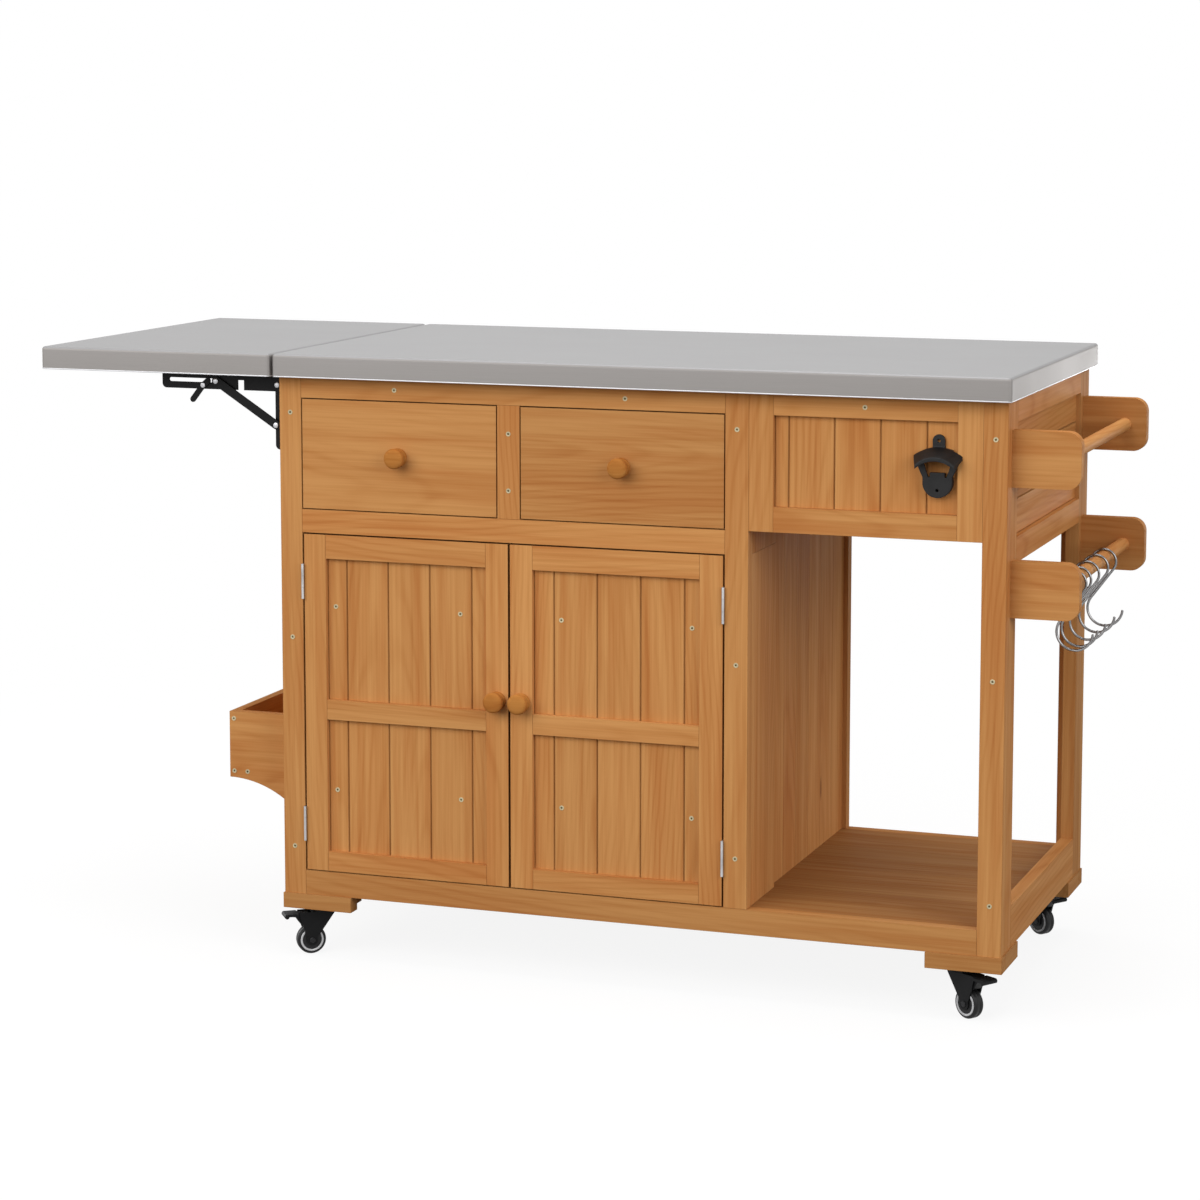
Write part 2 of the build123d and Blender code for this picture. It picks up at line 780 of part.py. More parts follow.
def steel_hook(y):
    """An S of round wire hanging over the lower rail: upper loop, slanting shank, lower loop."""
    upper = Vector(bar_x, y, hook_top_z - hook_upper_radius)
    lower = upper + Vector(hook_centre_offset, 0, -hook_centre_drop)
    reach = hypot(hook_centre_offset, hook_centre_drop)
    turn = atan2(-hook_centre_drop, hook_centre_offset)
    turn += acos((hook_upper_radius + hook_lower_radius) / reach)
    start = radians(hook_tip_angle)
    end = radians(hook_toe_angle)

    def on_circle(centre, radius, angle):
        return centre + Vector(radius * cos(angle), 0, radius * sin(angle))

    left_upper = on_circle(upper, hook_upper_radius, turn)
    left_lower = on_circle(lower, hook_lower_radius, turn + radians(180))
    tip = on_circle(upper, hook_upper_radius, start)
    crown = on_circle(upper, hook_upper_radius, (start + turn) / 2)
    belly = on_circle(lower, hook_lower_radius, (turn + radians(180) + end) / 2)
    toe = on_circle(lower, hook_lower_radius, end)
    path = Wire([
        ThreePointArc(tip, crown, left_upper).edge(),
        Line(left_upper, left_lower).edge(),
        ThreePointArc(left_lower, belly, toe).edge(),
    ])
    section = Plane(origin=tip, z_dir=path % 0) * Circle(hook_wire_radius)
    return sweep(section, path=path)


# Spice rack

def spice_rack():
    """Two end boards with a curved lower edge, an outer slat and a floor."""
    x0 = frame_x0 - rack_width
    z0 = rack_top_height - rack_slat_height
    arc_z = z0 - rack_arc_radius
    heel_x = frame_x0 - rack_heel
    heel_z = arc_z + sqrt(rack_arc_radius ** 2 - (heel_x - x0) ** 2)
    angle = atan2(heel_z - arc_z, heel_x - x0)
    middle = (angle + radians(90)) / 2
    outline = make_face([
        Line((x0, rack_top_height), (x0, z0)),
        ThreePointArc(
            (x0, z0),
            (x0 + rack_arc_radius * cos(middle), arc_z + rack_arc_radius * sin(middle)),
            (heel_x, heel_z),
        ),
        Line((heel_x, heel_z), (frame_x0, heel_z)),
        Line((frame_x0, heel_z), (frame_x0, rack_top_height)),
        Line((frame_x0, rack_top_height), (x0, rack_top_height)),
    ])
    y0 = frame_y0 + rack_end_inset
    inner = y0 + rack_board_thickness
    back = frame_y1 - rack_end_inset - rack_board_thickness
    slat_x = x0 + rack_board_thickness
    floor_low = z0 + rack_floor_rise
    end = front_plate(outline, y0, inner)
    return [
        end,
        mirrored_back(end),
        block(x0, slat_x, inner, back, z0, rack_top_height),
        block(slat_x, frame_x0, inner, back, floor_low, floor_low + rack_floor_thickness),
    ]


# Folding brackets under the leaf

bracket_y = top_y0 + bracket_inset
leaf_pivot = (frame_x0 - leaf_pivot_stand_off, top_z0 - leaf_pivot_drop)
strut_pivot = (frame_x0 - strut_pivot_stand_off, top_z0 - strut_pivot_drop)
strut_pin = (frame_x0 - strut_pin_reach, top_z0 - strut_pin_drop)
strut_length = hypot(strut_pin[0] - strut_pivot[0], strut_pin[1] - strut_pivot[1])
lever_pivot = (frame_x0 - lever_pivot_reach, top_z0 - lever_pivot_drop)
plate_y1 = bracket_y + bracket_plate
wall_plate_y0 = plate_y1 + bracket_play
wall_plate_y1 = wall_plate_y0 + bracket_plate
lever_y1 = bracket_y - bracket_play
lever_y0 = lever_y1 - bracket_plate
strut_y1 = lever_y0 - bracket_play
strut_y0 = strut_y1 - bracket_plate
# Reach of the strut pin along the slot when the leaf hangs down
folded_reach = strut_pivot_drop - leaf_pivot_drop + strut_length


def disc(point, radius, y0, y1):
    """A round boss, pin or hole across the bracket at a point given in X and Z."""
    return rod((point[0], y0, point[1]), (point[0], y1, point[1]), radius)


def leaf_arm():
    """The arm under the leaf: a slotted plate and the flange that is screwed to the leaf."""
    x0 = frame_x0 - arm_length - leaf_pivot_stand_off
    x1 = leaf_pivot[0] + rivet_head_radius + rivet_radius
    z0 = top_z0 - arm_drop
    plate = block(x0, x1, bracket_y, plate_y1, z0, top_z0)
    lower_corners = plate.edges().filter_by(Axis.Y).group_by(Axis.Z)[0]
    plate = fillet(lower_corners, arm_end_radius)
    slot_x0 = leaf_pivot[0] - folded_reach - slot_end_play
    slot_x1 = strut_pin[0] + rivet_radius + slot_end_play
    slot_centre = Pos((slot_x0 + slot_x1) / 2, strut_pin[1])
    plate -= front_plate(slot_centre * SlotOverall(slot_x1 - slot_x0, slot_height), bracket_y, plate_y1)
    notch_x = leaf_pivot[0] - (strut_pivot_drop - leaf_pivot_drop)
    notch_top = leaf_pivot[1] + notch_width / 2
    plate -= block(notch_x - notch_width / 2, notch_x + notch_width / 2, bracket_y, plate_y1, z0, notch_top)
    flange_x1 = leaf_x1 - worktop_edge_radius
    plate += block(x0, flange_x1, plate_y1, plate_y1 + bracket_flange, top_z0 - bracket_plate, top_z0)
    plate += disc(lever_pivot, lever_pin_radius, lever_y0, bracket_y)
    return plate - disc(leaf_pivot, rivet_radius + rivet_clearance, bracket_y, plate_y1)


def wall_arm():
    """The arm on the side of the cart: a plate, its flange on the wood, and the two pivot rivets."""
    z1 = top_z0 - bracket_plate - bracket_play
    z0 = z1 - wall_arm_height
    plate = block(frame_x0 - wall_arm_width, frame_x0, wall_plate_y0, wall_plate_y1, z0, z1)
    outer_corners = plate.edges().filter_by(Axis.Y).group_by(Axis.X)[0]
    plate = fillet(outer_corners, arm_end_radius)
    plate += block(frame_x0 - bracket_plate, frame_x0, wall_plate_y1, wall_plate_y1 + bracket_flange, z0, z1)
    plate += disc(leaf_pivot, rivet_radius, bracket_y - bracket_play, wall_plate_y0)
    head_y = bracket_y - bracket_play
    plate += disc(leaf_pivot, rivet_head_radius, head_y - rivet_head_height, head_y)
    plate += disc(strut_pivot, rivet_radius, strut_y0 - bracket_flange_gap, wall_plate_y0)
    head_y = strut_y0 - bracket_flange_gap
    return plate + disc(strut_pivot, rivet_head_radius, head_y - rivet_head_height, head_y)


def strut():
    """The diagonal strut from the wall arm's lower rivet to the slot."""
    middle = ((strut_pivot[0] + strut_pin[0]) / 2, (strut_pivot[1] + strut_pin[1]) / 2)
    angle = degrees(atan2(strut_pin[1] - strut_pivot[1], strut_pin[0] - strut_pivot[0]))
    outline = Pos(*middle) * Rot(0, 0, angle) * SlotCenterToCenter(strut_length, strut_width)
    plate = front_plate(outline, strut_y0, strut_y1)
    plate -= disc(strut_pivot, rivet_radius + rivet_clearance, strut_y0, strut_y1)
    return plate + disc(strut_pin, rivet_head_radius, strut_y0 - rivet_head_height, strut_y0)


def release_lever():
    """The latch lever on the leaf arm, with its tail below the arm."""
    tail_angle = radians(lever_tail_angle)
    hook_angle = radians(lever_hook_angle)
    tail = (lever_pivot[0] + lever_tail * cos(tail_angle), lever_pivot[1] + lever_tail * sin(tail_angle))
    nose = (lever_pivot[0] + lever_hook * cos(hook_angle), lever_pivot[1] + lever_hook * sin(hook_angle))
    outline = None
    for end in (tail, nose):
        middle = ((lever_pivot[0] + end[0]) / 2, (lever_pivot[1] + end[1]) / 2)
        length = hypot(end[0] - lever_pivot[0], end[1] - lever_pivot[1])
        angle = degrees(atan2(end[1] - lever_pivot[1], end[0] - lever_pivot[0]))
        part = Pos(*middle) * Rot(0, 0, angle) * SlotCenterToCenter(length, lever_width)
        outline = part if outline is None else outline + part
    plate = front_plate(outline, lever_y0, lever_y1)
    return plate - disc(lever_pivot, lever_pin_radius + rivet_clearance, lever_y0, lever_y1)


# Feet and casters

caster_places = {
    "front_left": (frame_x0 + caster_inset_left, frame_y0 + caster_inset_end),
    "front_right": (frame_x1 - caster_inset_right, frame_y0 + caster_inset_end),
    "rear_right": (frame_x1 - caster_inset_right, frame_y1 - caster_inset_end),
    "rear_left": (frame_x0 + caster_inset_left, frame_y1 - caster_inset_end),
}
race_z1 = caster_height - caster_plate_thickness - swivel_clearance
race_z0 = race_z1 - race_height
crown_z0 = race_z0 - crown_thickness
fork_half = wheel_width / 2 + wheel_side_clearance
pedal_pivot_z = crown_z0 - pedal_pivot_drop


def feet():
    """Four corner feet: two strips in an L and a block in its corner that the caster is screwed to."""
    pieces = []
    for hand in (-1, 1):
        edge = frame_x0 - foot_proud if hand < 0 else frame_x1 + foot_proud
        y0 = frame_y0 - foot_proud
        y1 = y0 + foot_strip_width
        strip = sorted((edge, edge - hand * foot_strip_length))
        side = sorted((edge, edge - hand * foot_strip_width))
        corner = edge - hand * foot_strip_width
        inner = sorted((corner, corner - hand * foot_block_length))
        front = [
            block(*strip, y0, y1, caster_height, frame_z0),
            block(*side, y1, y0 + foot_side_length, caster_height, frame_z0),
            block(*inner, y1, y1 + foot_block_width, caster_height, frame_z0),
        ]
        pieces += front + [mirrored_back(piece) for piece in front]
    return pieces


def caster_plates():
    """The fixed plates under the feet, each with its kingpin."""
    half = caster_plate_size / 2
    z0 = caster_height - caster_plate_thickness
    pieces = []
    for x, y in caster_places.values():
        plate = block(x - half, x + half, y - half, y + half, z0, caster_height)
        pieces.append(plate + rod((x, y, crown_z0), (x, y, z0), kingpin_radius))
    return pieces


def place_caster(piece, corner):
    """Puts a caster piece, drawn with its trail along +X, under a corner of the cart."""
    x, y = caster_places[corner]
    return Pos(x, y, 0) * Rot(0, 0, caster_angles[corner]) * piece


def caster_fork():
    """The swivelling fork: race, crown, two cheek plates, wheel axle and pedal pin."""
    outer = fork_half + fork_plate_thickness
    fork = rod((0, 0, race_z0), (0, 0, race_z1), race_radius)
    fork += block(-fork_back_reach, wheel_trail, -outer, outer, crown_z0, race_z0)
    boss_z = wheel_radius + axle_boss_radius / 2
    cheek = make_face(Polyline(
        (-fork_back_reach, race_z0),
        (-fork_back_reach, crown_z0),
        (wheel_trail - axle_boss_radius, boss_z),
        (wheel_trail + axle_boss_radius, boss_z),
        (fork_front_reach, crown_z0 - crown_thickness),
        (fork_front_reach, race_z0),
        close=True,
    ))
    cheek += Pos(wheel_trail, wheel_radius) * Circle(axle_boss_radius)
    for y0 in (-outer, fork_half):
        fork += front_plate(cheek, y0, y0 + fork_plate_thickness)
    fork += rod((wheel_trail, -outer, wheel_radius), (wheel_trail, outer, wheel_radius), axle_radius)
    pin_x = pedal_pivot_reach
    fork += rod((pin_x, -outer, pedal_pivot_z), (pin_x, outer, pedal_pivot_z), pedal_pin_radius)
    return fork - rod((0, 0, crown_z0), (0, 0, race_z1), kingpin_radius + axle_clearance)


def caster_wheel():
    """A wheel with rounded tread edges and a ring groove on each face."""
    half = wheel_width / 2
    centre = wheel_radius
    wheel = rod((wheel_trail, -half, centre), (wheel_trail, half, centre), wheel_radius)
    wheel = fillet(wheel.edges().filter_by(GeomType.CIRCLE), wheel_edge_radius)
    for face_y, inner_y in ((-half, -half + wheel_ring_depth), (half, half - wheel_ring_depth)):
        ends = (wheel_trail, face_y, centre), (wheel_trail, inner_y, centre)
        wheel -= rod(*ends, wheel_ring_outer_radius) - rod(*ends, wheel_ring_inner_radius)
    bore = axle_radius + axle_clearance
    return wheel - rod((wheel_trail, -half, centre), (wheel_trail, half, centre), bore)


def caster_pedal():
    """The brake pedal: a lever between the cheeks with a shoe, and a foot pad with a bar across its end."""
    x = pedal_pivot_reach
    z = pedal_pivot_z
    inner = fork_half - wheel_side_clearance
    pad_x = fork_front_reach + pedal_pin_radius
    tip_x = x + pedal_length
    shoe_x = x + pedal_pin_radius * 3
    outline = make_face(Polyline(
        (x - pedal_thickness, z + pedal_thickness),
        (tip_x, z + pedal_thickness),
        (tip_x, z),
        (pad_x + pedal_thickness, z - pedal_pin_radius),
        (shoe_x + pedal_thickness, z - pedal_shoe_drop + pedal_thickness),
        (shoe_x, z - pedal_shoe_drop),
        (x, z - pedal_thickness * 1.5),
        (x - pedal_thickness, z - pedal_thickness),
        close=True,
    ))
    pedal = front_plate(outline, -inner, inner)
    half = pedal_pad_width / 2
    pedal += block(pad_x, tip_x, -half, half, z, z + pedal_thickness)
    bar_z = z + pedal_thickness - pedal_bar_radius
    pedal += rod((tip_x, -half, bar_z), (tip_x, half, bar_z), pedal_bar_radius)
    return pedal - rod((x, -inner, z), (x, inner, z), pedal_pin_radius + axle_clearance)


# Screw heads

def screw_head(x, y, z):
    """A screw head on a surface that faces the front, with its driver recess."""
    front = y - screw_height
    head = rod((x, y, z), (x, front, z), screw_radius)
    return head - rod((x, front + screw_recess_depth, z), (x, front, z), screw_recess_radius)


def frame_screws():
    """The screw heads that show on the front frame and on the rack's front end."""
    z_top = frame_z1 - stile_screw_top
    z_middle = (frame_z0 + frame_z1) / 2
    places = []
    for x, bottom in (
        ((frame_x0 + cabinet_x0) / 2, frame_z0),
        ((cabinet_x1 + bay_x0) / 2, floor_z),
        ((bay_x1 + frame_x1) / 2, frame_z0),
    ):
        places += [(x, frame_y0, z) for z in (z_top, z_middle, bottom + stile_screw_bottom)]
    rail_z = (drawer_z1 + frame_z1) / 2
    rail_xs = (cabinet_x0 + rail_screw_distance, cabinet_x1 - rail_screw_distance, (bay_x0 + bay_x1) / 2)
    places += [(x, frame_y0, rail_z) for x in rail_xs]
    quarter = drawer_opening_height / 4
    places += [(cabinet_middle, frame_y0, z) for z in (drawer_z0 + quarter, drawer_z1 - quarter)]
    rack_x = frame_x0 - rack_width + rack_board_thickness / 2
    rack_z0 = rack_top_height - rack_slat_height
    floor_mid = rack_z0 + rack_floor_rise + rack_floor_thickness / 2
    rack_y = frame_y0 + rack_end_inset
    places.append((rack_x, rack_y, rack_top_height - rack_screw_inset))
    places.append((rack_x, rack_y, floor_mid))
    places.append((rack_x + 2 * rack_screw_inset, rack_y, floor_mid))
    return [screw_head(*place) for place in places]


# Every node with its pieces

half_stile = stile_width / 2
drawer_x = {
    "left": (cabinet_x0, cabinet_middle - half_stile),
    "right": (cabinet_middle + half_stile, cabinet_x1),
}
nodes = {
    "worktop_core": [slab(top_x0, top_x1, core_radius)],
    "worktop_skin": [steel_pan(top_x0, top_x1)],
    "stiles": stiles() + side_stiles(),
    "front_rails": front_rails(),
    "rear_rails": rear_rails(),
    "left_side_panel": left_side_panel(),
    "right_side_apron": right_side_apron(),
    "divider_panel": divider_panel(),
    "back_panel": back_panel(),
    "floor_boards": floor_boards(),
    "cabinet_shelf": cabinet_shelf(),
    "drawer_runners": drawer_runners(),
    "bay_apron": bay_apron(),
    "bottle_opener": [bottle_opener()],
    "bar_brackets": bar_brackets(),
    "towel_bar": [bar(upper_bar_z)],
    "hook_bar": [bar(lower_bar_z)],
    "spice_rack": spice_rack(),
    "feet": feet(),
    "caster_plates": caster_plates(),
    "door_fittings": frame_hinges() + catches(),
    "frame_screws": frame_screws(),
    "leaf_core": [slab(leaf_x0, leaf_x1, core_radius)],
    "leaf_skin": [steel_pan(leaf_x0, leaf_x1)],
    "leaf_arms": [leaf_arm(), mirrored_back(leaf_arm())],
    "wall_arms": [wall_arm(), mirrored_back(wall_arm())],
    "leaf_struts": [strut(), mirrored_back(strut())],
    "release_lever_front": [release_lever()],
    "release_lever_rear": [mirrored_back(release_lever())],
}
for side in ("left", "right"):
    nodes["drawer_front_" + side] = [drawer_front(*drawer_x[side])]
    nodes["drawer_box_" + side] = drawer_box(*drawer_x[side])
    nodes["drawer_knob_" + side] = [knob(sum(drawer_x[side]) / 2, drawer_middle_z)]
    nodes["door_frame_" + side] = door_frame(side)
    nodes["door_boards_" + side] = door_boards(side)
    nodes["door_hardware_" + side] = door_hardware(side)
    nodes["door_knob_" + side] = [door_knob(side)]
for corner in caster_places:
    nodes["caster_fork_" + corner] = [place_caster(caster_fork(), corner)]
    nodes["caster_wheel_" + corner] = [place_caster(caster_wheel(), corner)]
    nodes["caster_pedal_" + corner] = [place_caster(caster_pedal(), corner)]
for index, hook_y in enumerate(hook_ys):
    nodes["steel_hook_" + str(index + 1)] = [steel_hook(hook_y)]

os.makedirs("parts", exist_ok=True)
for name, pieces in nodes.items():
    solids = [solid for piece in pieces for solid in piece.solids()]
    export_step(Compound(children=solids), os.path.join("parts", name + ".step"))
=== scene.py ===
import bpy
import bmesh
import json
import random
from math import acos, atan2, cos, hypot, pi, radians, sin
from mathutils import Matrix, Vector


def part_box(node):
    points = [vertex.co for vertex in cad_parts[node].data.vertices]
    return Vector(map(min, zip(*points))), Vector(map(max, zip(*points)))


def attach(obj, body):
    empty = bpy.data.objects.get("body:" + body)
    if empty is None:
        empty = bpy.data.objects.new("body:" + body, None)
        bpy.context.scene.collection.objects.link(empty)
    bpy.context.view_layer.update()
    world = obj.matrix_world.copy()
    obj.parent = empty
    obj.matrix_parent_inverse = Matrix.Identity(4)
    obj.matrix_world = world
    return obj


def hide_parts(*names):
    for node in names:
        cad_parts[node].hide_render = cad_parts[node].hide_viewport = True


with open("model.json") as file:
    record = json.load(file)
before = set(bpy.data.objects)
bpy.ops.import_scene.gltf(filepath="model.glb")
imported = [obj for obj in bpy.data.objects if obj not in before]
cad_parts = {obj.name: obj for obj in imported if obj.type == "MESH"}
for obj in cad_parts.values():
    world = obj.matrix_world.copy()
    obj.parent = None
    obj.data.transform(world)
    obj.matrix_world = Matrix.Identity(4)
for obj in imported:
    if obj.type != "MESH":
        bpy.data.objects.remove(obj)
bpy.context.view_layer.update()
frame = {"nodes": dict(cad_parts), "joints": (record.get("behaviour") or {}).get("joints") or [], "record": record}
nodes = frame["nodes"]
bodies = frame["record"]["behaviour"]["bodies"]
body_of = {node: body for body, members in bodies.items() for node in members}
joints = {joint["name"]: joint for joint in frame["joints"]}


# Shader helpers

class Shader:
    """A Principled material with short calls for the nodes that feed it."""

    def __init__(self, name):
        self.material = bpy.data.materials.new(name)
        self.material.use_nodes = True
        self.tree = self.material.node_tree
        self.surface = self.tree.nodes["Principled BSDF"]

    def node(self, kind, **settings):
        made = self.tree.nodes.new(kind)
        for key, value in settings.items():
            setattr(made, key, value)
        return made

    def feed(self, socket, value):
        """Links an output to a socket, or sets a plain value on it."""
        if isinstance(value, bpy.types.NodeSocket):
            self.tree.links.new(value, socket)
        else:
            socket.default_value = value

    def set(self, **values):
        for key, value in values.items():
            self.feed(self.surface.inputs[key.replace("_", " ")], value)

    def math(self, operation, a, b=0.0):
        made = self.node("ShaderNodeMath", operation=operation)
        self.feed(made.inputs[0], a)
        self.feed(made.inputs[1], b)
        return made.outputs[0]

    def coordinates(self, attribute):
        return self.node("ShaderNodeAttribute", attribute_name=attribute).outputs["Vector"]

    def stretched(self, vector, scale):
        made = self.node("ShaderNodeMapping")
        self.feed(made.inputs["Vector"], vector)
        made.inputs["Scale"].default_value = scale
        return made.outputs["Vector"]

    def noise(self, vector, scale, detail=2.0, roughness=0.5):
        """Noise from 0 to 1, with a scale of its own along each axis."""
        made = self.node("ShaderNodeTexNoise")
        self.feed(made.inputs["Vector"], self.stretched(vector, scale))
        made.inputs["Scale"].default_value = 1.0
        made.inputs["Detail"].default_value = detail
        made.inputs["Roughness"].default_value = roughness
        return made.outputs["Fac"]

    def ramp(self, factor, *stops):
        made = self.node("ShaderNodeValToRGB")
        self.feed(made.inputs["Fac"], factor)
        elements = made.color_ramp.elements
        while len(elements) < len(stops):
            elements.new(0.5)
        for element, (position, colour) in zip(elements, stops):
            element.position = position
            element.color = (*colour, 1.0)
        return made.outputs["Color"]

    def range(self, value, low, high, to_low, to_high):
        made = self.node("ShaderNodeMapRange")
        self.feed(made.inputs["Value"], value)
        for name, number in (("From Min", low), ("From Max", high), ("To Min", to_low), ("To Max", to_high)):
            made.inputs[name].default_value = number
        return made.outputs["Result"]

    def mix(self, factor, a, b, blend="MIX"):
        made = self.node("ShaderNodeMix", data_type="RGBA", blend_type=blend)
        self.feed(made.inputs["Factor"], factor)
        self.feed(made.inputs["A"], a if isinstance(a, bpy.types.NodeSocket) else (*a, 1.0))
        self.feed(made.inputs["B"], b if isinstance(b, bpy.types.NodeSocket) else (*b, 1.0))
        return made.outputs["Result"]

    def bump(self, height, strength, distance):
        made = self.node("ShaderNodeBump")
        self.feed(made.inputs["Height"], height)
        made.inputs["Strength"].default_value = strength
        made.inputs["Distance"].default_value = distance
        self.feed(self.surface.inputs["Normal"], made.outputs["Normal"])


# Materials

ring_spacing = 0.0085
pith_tilt = 0.06
pith_sway = 0.03
knot_brown = (0.17, 0.065, 0.02)
wood_gloss = 0.01
steel_metallic = 0.4


def pine(name, pale, mid, deep, rust, shade=1.0):
    """Oiled pine: arched rings about a tilted pith, fibres, thin lines, reddish streaks and a few knots."""
    s = Shader(name)
    grain = s.coordinates("grain")
    parts = s.node("ShaderNodeSeparateXYZ")
    s.feed(parts.inputs[0], grain)
    sway = s.noise(grain, (2.6, 12.0, 12.0), 3.0)
    across = s.node("ShaderNodeVectorMath", operation="MULTIPLY")
    s.feed(across.inputs[0], grain)
    across.inputs[1].default_value = (0.0, 1.0, 1.0)
    reach = s.node("ShaderNodeVectorMath", operation="LENGTH")
    s.feed(reach.inputs[0], across.outputs[0])
    radius = s.math("ADD", reach.outputs["Value"], s.math("MULTIPLY", sway, pith_sway))
    radius = s.math("ADD", radius, s.math("MULTIPLY", parts.outputs["X"], pith_tilt))
    rings = s.math("SINE", s.math("MULTIPLY", radius, 2 * pi / ring_spacing))
    rings = s.range(rings, -0.6, 1.0, 0.0, 1.0)
    rings = s.math("POWER", rings, 2.2)
    fibres = s.noise(grain, (7.0, 520.0, 520.0), 3.0, 0.6)
    lines = s.noise(grain, (2.0, 190.0, 190.0), 3.0, 0.6)
    streaks = s.noise(grain, (2.4, 58.0, 58.0), 4.0, 0.6)
    broad = s.noise(grain, (1.8, 15.0, 15.0), 2.0)
    patch = s.math("MULTIPLY", rings, s.range(broad, 0.38, 0.68, 0.06, 0.28))
    tone = s.math("ADD", patch, s.range(streaks, 0.3, 0.7, 0.0, 0.3))
    tone = s.math("ADD", tone, s.range(broad, 0.3, 0.72, 0.0, 0.26))
    tone = s.math("ADD", tone, s.range(lines, 0.3, 0.7, -0.12, 0.2))
    tone = s.math("ADD", tone, s.range(fibres, 0.3, 0.7, -0.06, 0.08))
    colour = s.ramp(tone, (0.12, pale), (0.5, mid), (0.95, deep))
    rust_streaks = s.range(streaks, 0.5, 0.72, 0.0, 0.4)
    rust_patches = s.range(broad, 0.52, 0.72, 0.0, 0.4)
    rusty = s.math("MAXIMUM", rust_streaks, rust_patches)
    colour = s.mix(rusty, colour, rust)
    knot = s.node("ShaderNodeTexVoronoi", feature="F1")
    s.feed(knot.inputs["Vector"], s.stretched(grain, (2.6, 9.0, 9.0)))
    knot.inputs["Scale"].default_value = 1.0
    knot_edge = s.math("ADD", knot.outputs["Distance"], s.math("MULTIPLY", streaks, 0.03))
    spot = s.range(knot_edge, 0.035, 0.07, 0.6, 0.0)
    colour = s.mix(spot, colour, knot_brown)
    # The board's tone and the material's shade scale the colour; both can hold painted shade.
    board = s.node("ShaderNodeAttribute", attribute_name="tone").outputs["Fac"]
    value = s.math("MULTIPLY", board, shade)
    tint = s.node("ShaderNodeCombineColor")
    for socket in ("Red", "Green", "Blue"):
        s.feed(tint.inputs[socket], value)
    s.set(Base_Color=s.mix(1.0, colour, tint.outputs["Color"], "MULTIPLY"))
    s.set(Roughness=s.range(streaks, 0.3, 0.7, 0.5, 0.64))
    s.surface.inputs["Specular IOR Level"].default_value = wood_gloss
    s.bump(s.math("ADD", fibres, s.math("MULTIPLY", rings, 0.4)), 0.22, 0.00025)
    return s.material


def brushed_steel(name, colour, rough):
    """Sheet steel with a fine brushed grain along the length and faint cloudiness."""
    s = Shader(name)
    grain = s.node("ShaderNodeTexCoord").outputs["Object"]
    brush = s.noise(grain, (9.0, 900.0, 900.0), 3.0, 0.65)
    cloud = s.noise(grain, (3.0, 4.0, 4.0), 3.0)
    dark = tuple(c * 0.9 for c in colour)
    s.set(Base_Color=s.mix(s.range(brush, 0.3, 0.7, 0.0, 1.0), dark, colour))
    fine = s.range(brush, 0.3, 0.7, rough - 0.05, rough + 0.05)
    s.set(Roughness=s.math("ADD", fine, s.range(cloud, 0.3, 0.7, -0.03, 0.03)))
    s.surface.inputs["Metallic"].default_value = steel_metallic
    s.bump(brush, 0.06, 0.0001)
    return s.material


def coated(name, colour, rough, grit=1400.0, metallic=0.0, strength=0.12, gloss=0.5):
    """A coated or moulded surface: orange-peel texture, uneven gloss and slight colour drift."""
    s = Shader(name)
    place = s.node("ShaderNodeTexCoord").outputs["Object"]
    peel = s.noise(place, (grit, grit, grit), 2.0)
    drift = s.noise(place, (45.0, 45.0, 45.0), 3.0)
    bright = tuple(min(1.0, c * 1.35 + 0.003) for c in colour)
    s.set(Base_Color=s.mix(s.range(drift, 0.35, 0.7, 0.0, 1.0), colour, bright))
    uneven = s.range(drift, 0.3, 0.7, rough - 0.06, rough + 0.06)
    s.set(Roughness=s.math("ADD", uneven, s.range(peel, 0.3, 0.7, -0.03, 0.03)))
    s.surface.inputs["Metallic"].default_value = metallic
    s.surface.inputs["Specular IOR Level"].default_value = gloss
    s.bump(peel, strength, 0.0002)
    return s.material


honey = ((0.62, 0.3, 0.103), (0.53, 0.231, 0.072), (0.42, 0.152, 0.041), (0.5, 0.178, 0.05))
wood = pine("oiled_pine", *honey)
wood_edge = pine("oiled_pine_edge", *honey, shade=0.85)
# A darker copy of the pine for the groove faces: painted shade in the V-grooves between matched boards.
wood_groove_shade = pine("oiled_pine_groove_shade", *honey, shade=0.6)
# A much darker copy of the pine for the outer sides of doors and drawer fronts: painted shade for the gaps around
# them.
wood_gap_shade = pine("oiled_pine_gap_shade", *honey, shade=0.34)
wood_knob = pine("oiled_pine_knob", *((r * 0.78, g * 0.68, b * 0.48) for r, g, b in honey))
steel_top = brushed_steel("steel_sheet", (0.295, 0.291, 0.293), 0.56)
# A darker, warmer copy of the sheet steel for its sides: painted shade on faces that don't face up.
steel_shaded_side = brushed_steel("steel_sheet_shaded_side", (0.264, 0.248, 0.237), 0.56)
# A much paler copy of the sheet steel for the hem: a painted highlight along the lower edge.
steel_hem_highlight = brushed_steel("steel_hem_highlight", (0.64, 0.64, 0.66), 0.36)
core_board = coated("core_board", (0.36, 0.24, 0.13), 0.7, 900.0)
black_iron = coated("black_iron", (0.005, 0.005, 0.0053), 0.5, gloss=0.12)
# A paler, glossier black for the rounded edges of the black iron, partly wear and partly painted highlight; the
# axle nuts use it too.
black_edge = coated("black_iron_edge", (0.016, 0.016, 0.017), 0.42, gloss=0.2)
cast_black = coated("cast_black", (0.0095, 0.0092, 0.0094), 0.46, 900.0, 0.0, 0.3, 0.2)
black_plastic = coated("wheel_black", (0.005, 0.005, 0.0053), 0.5, gloss=0.25)
ring_grey = coated("wheel_ring", (0.5, 0.5, 0.51), 0.42)
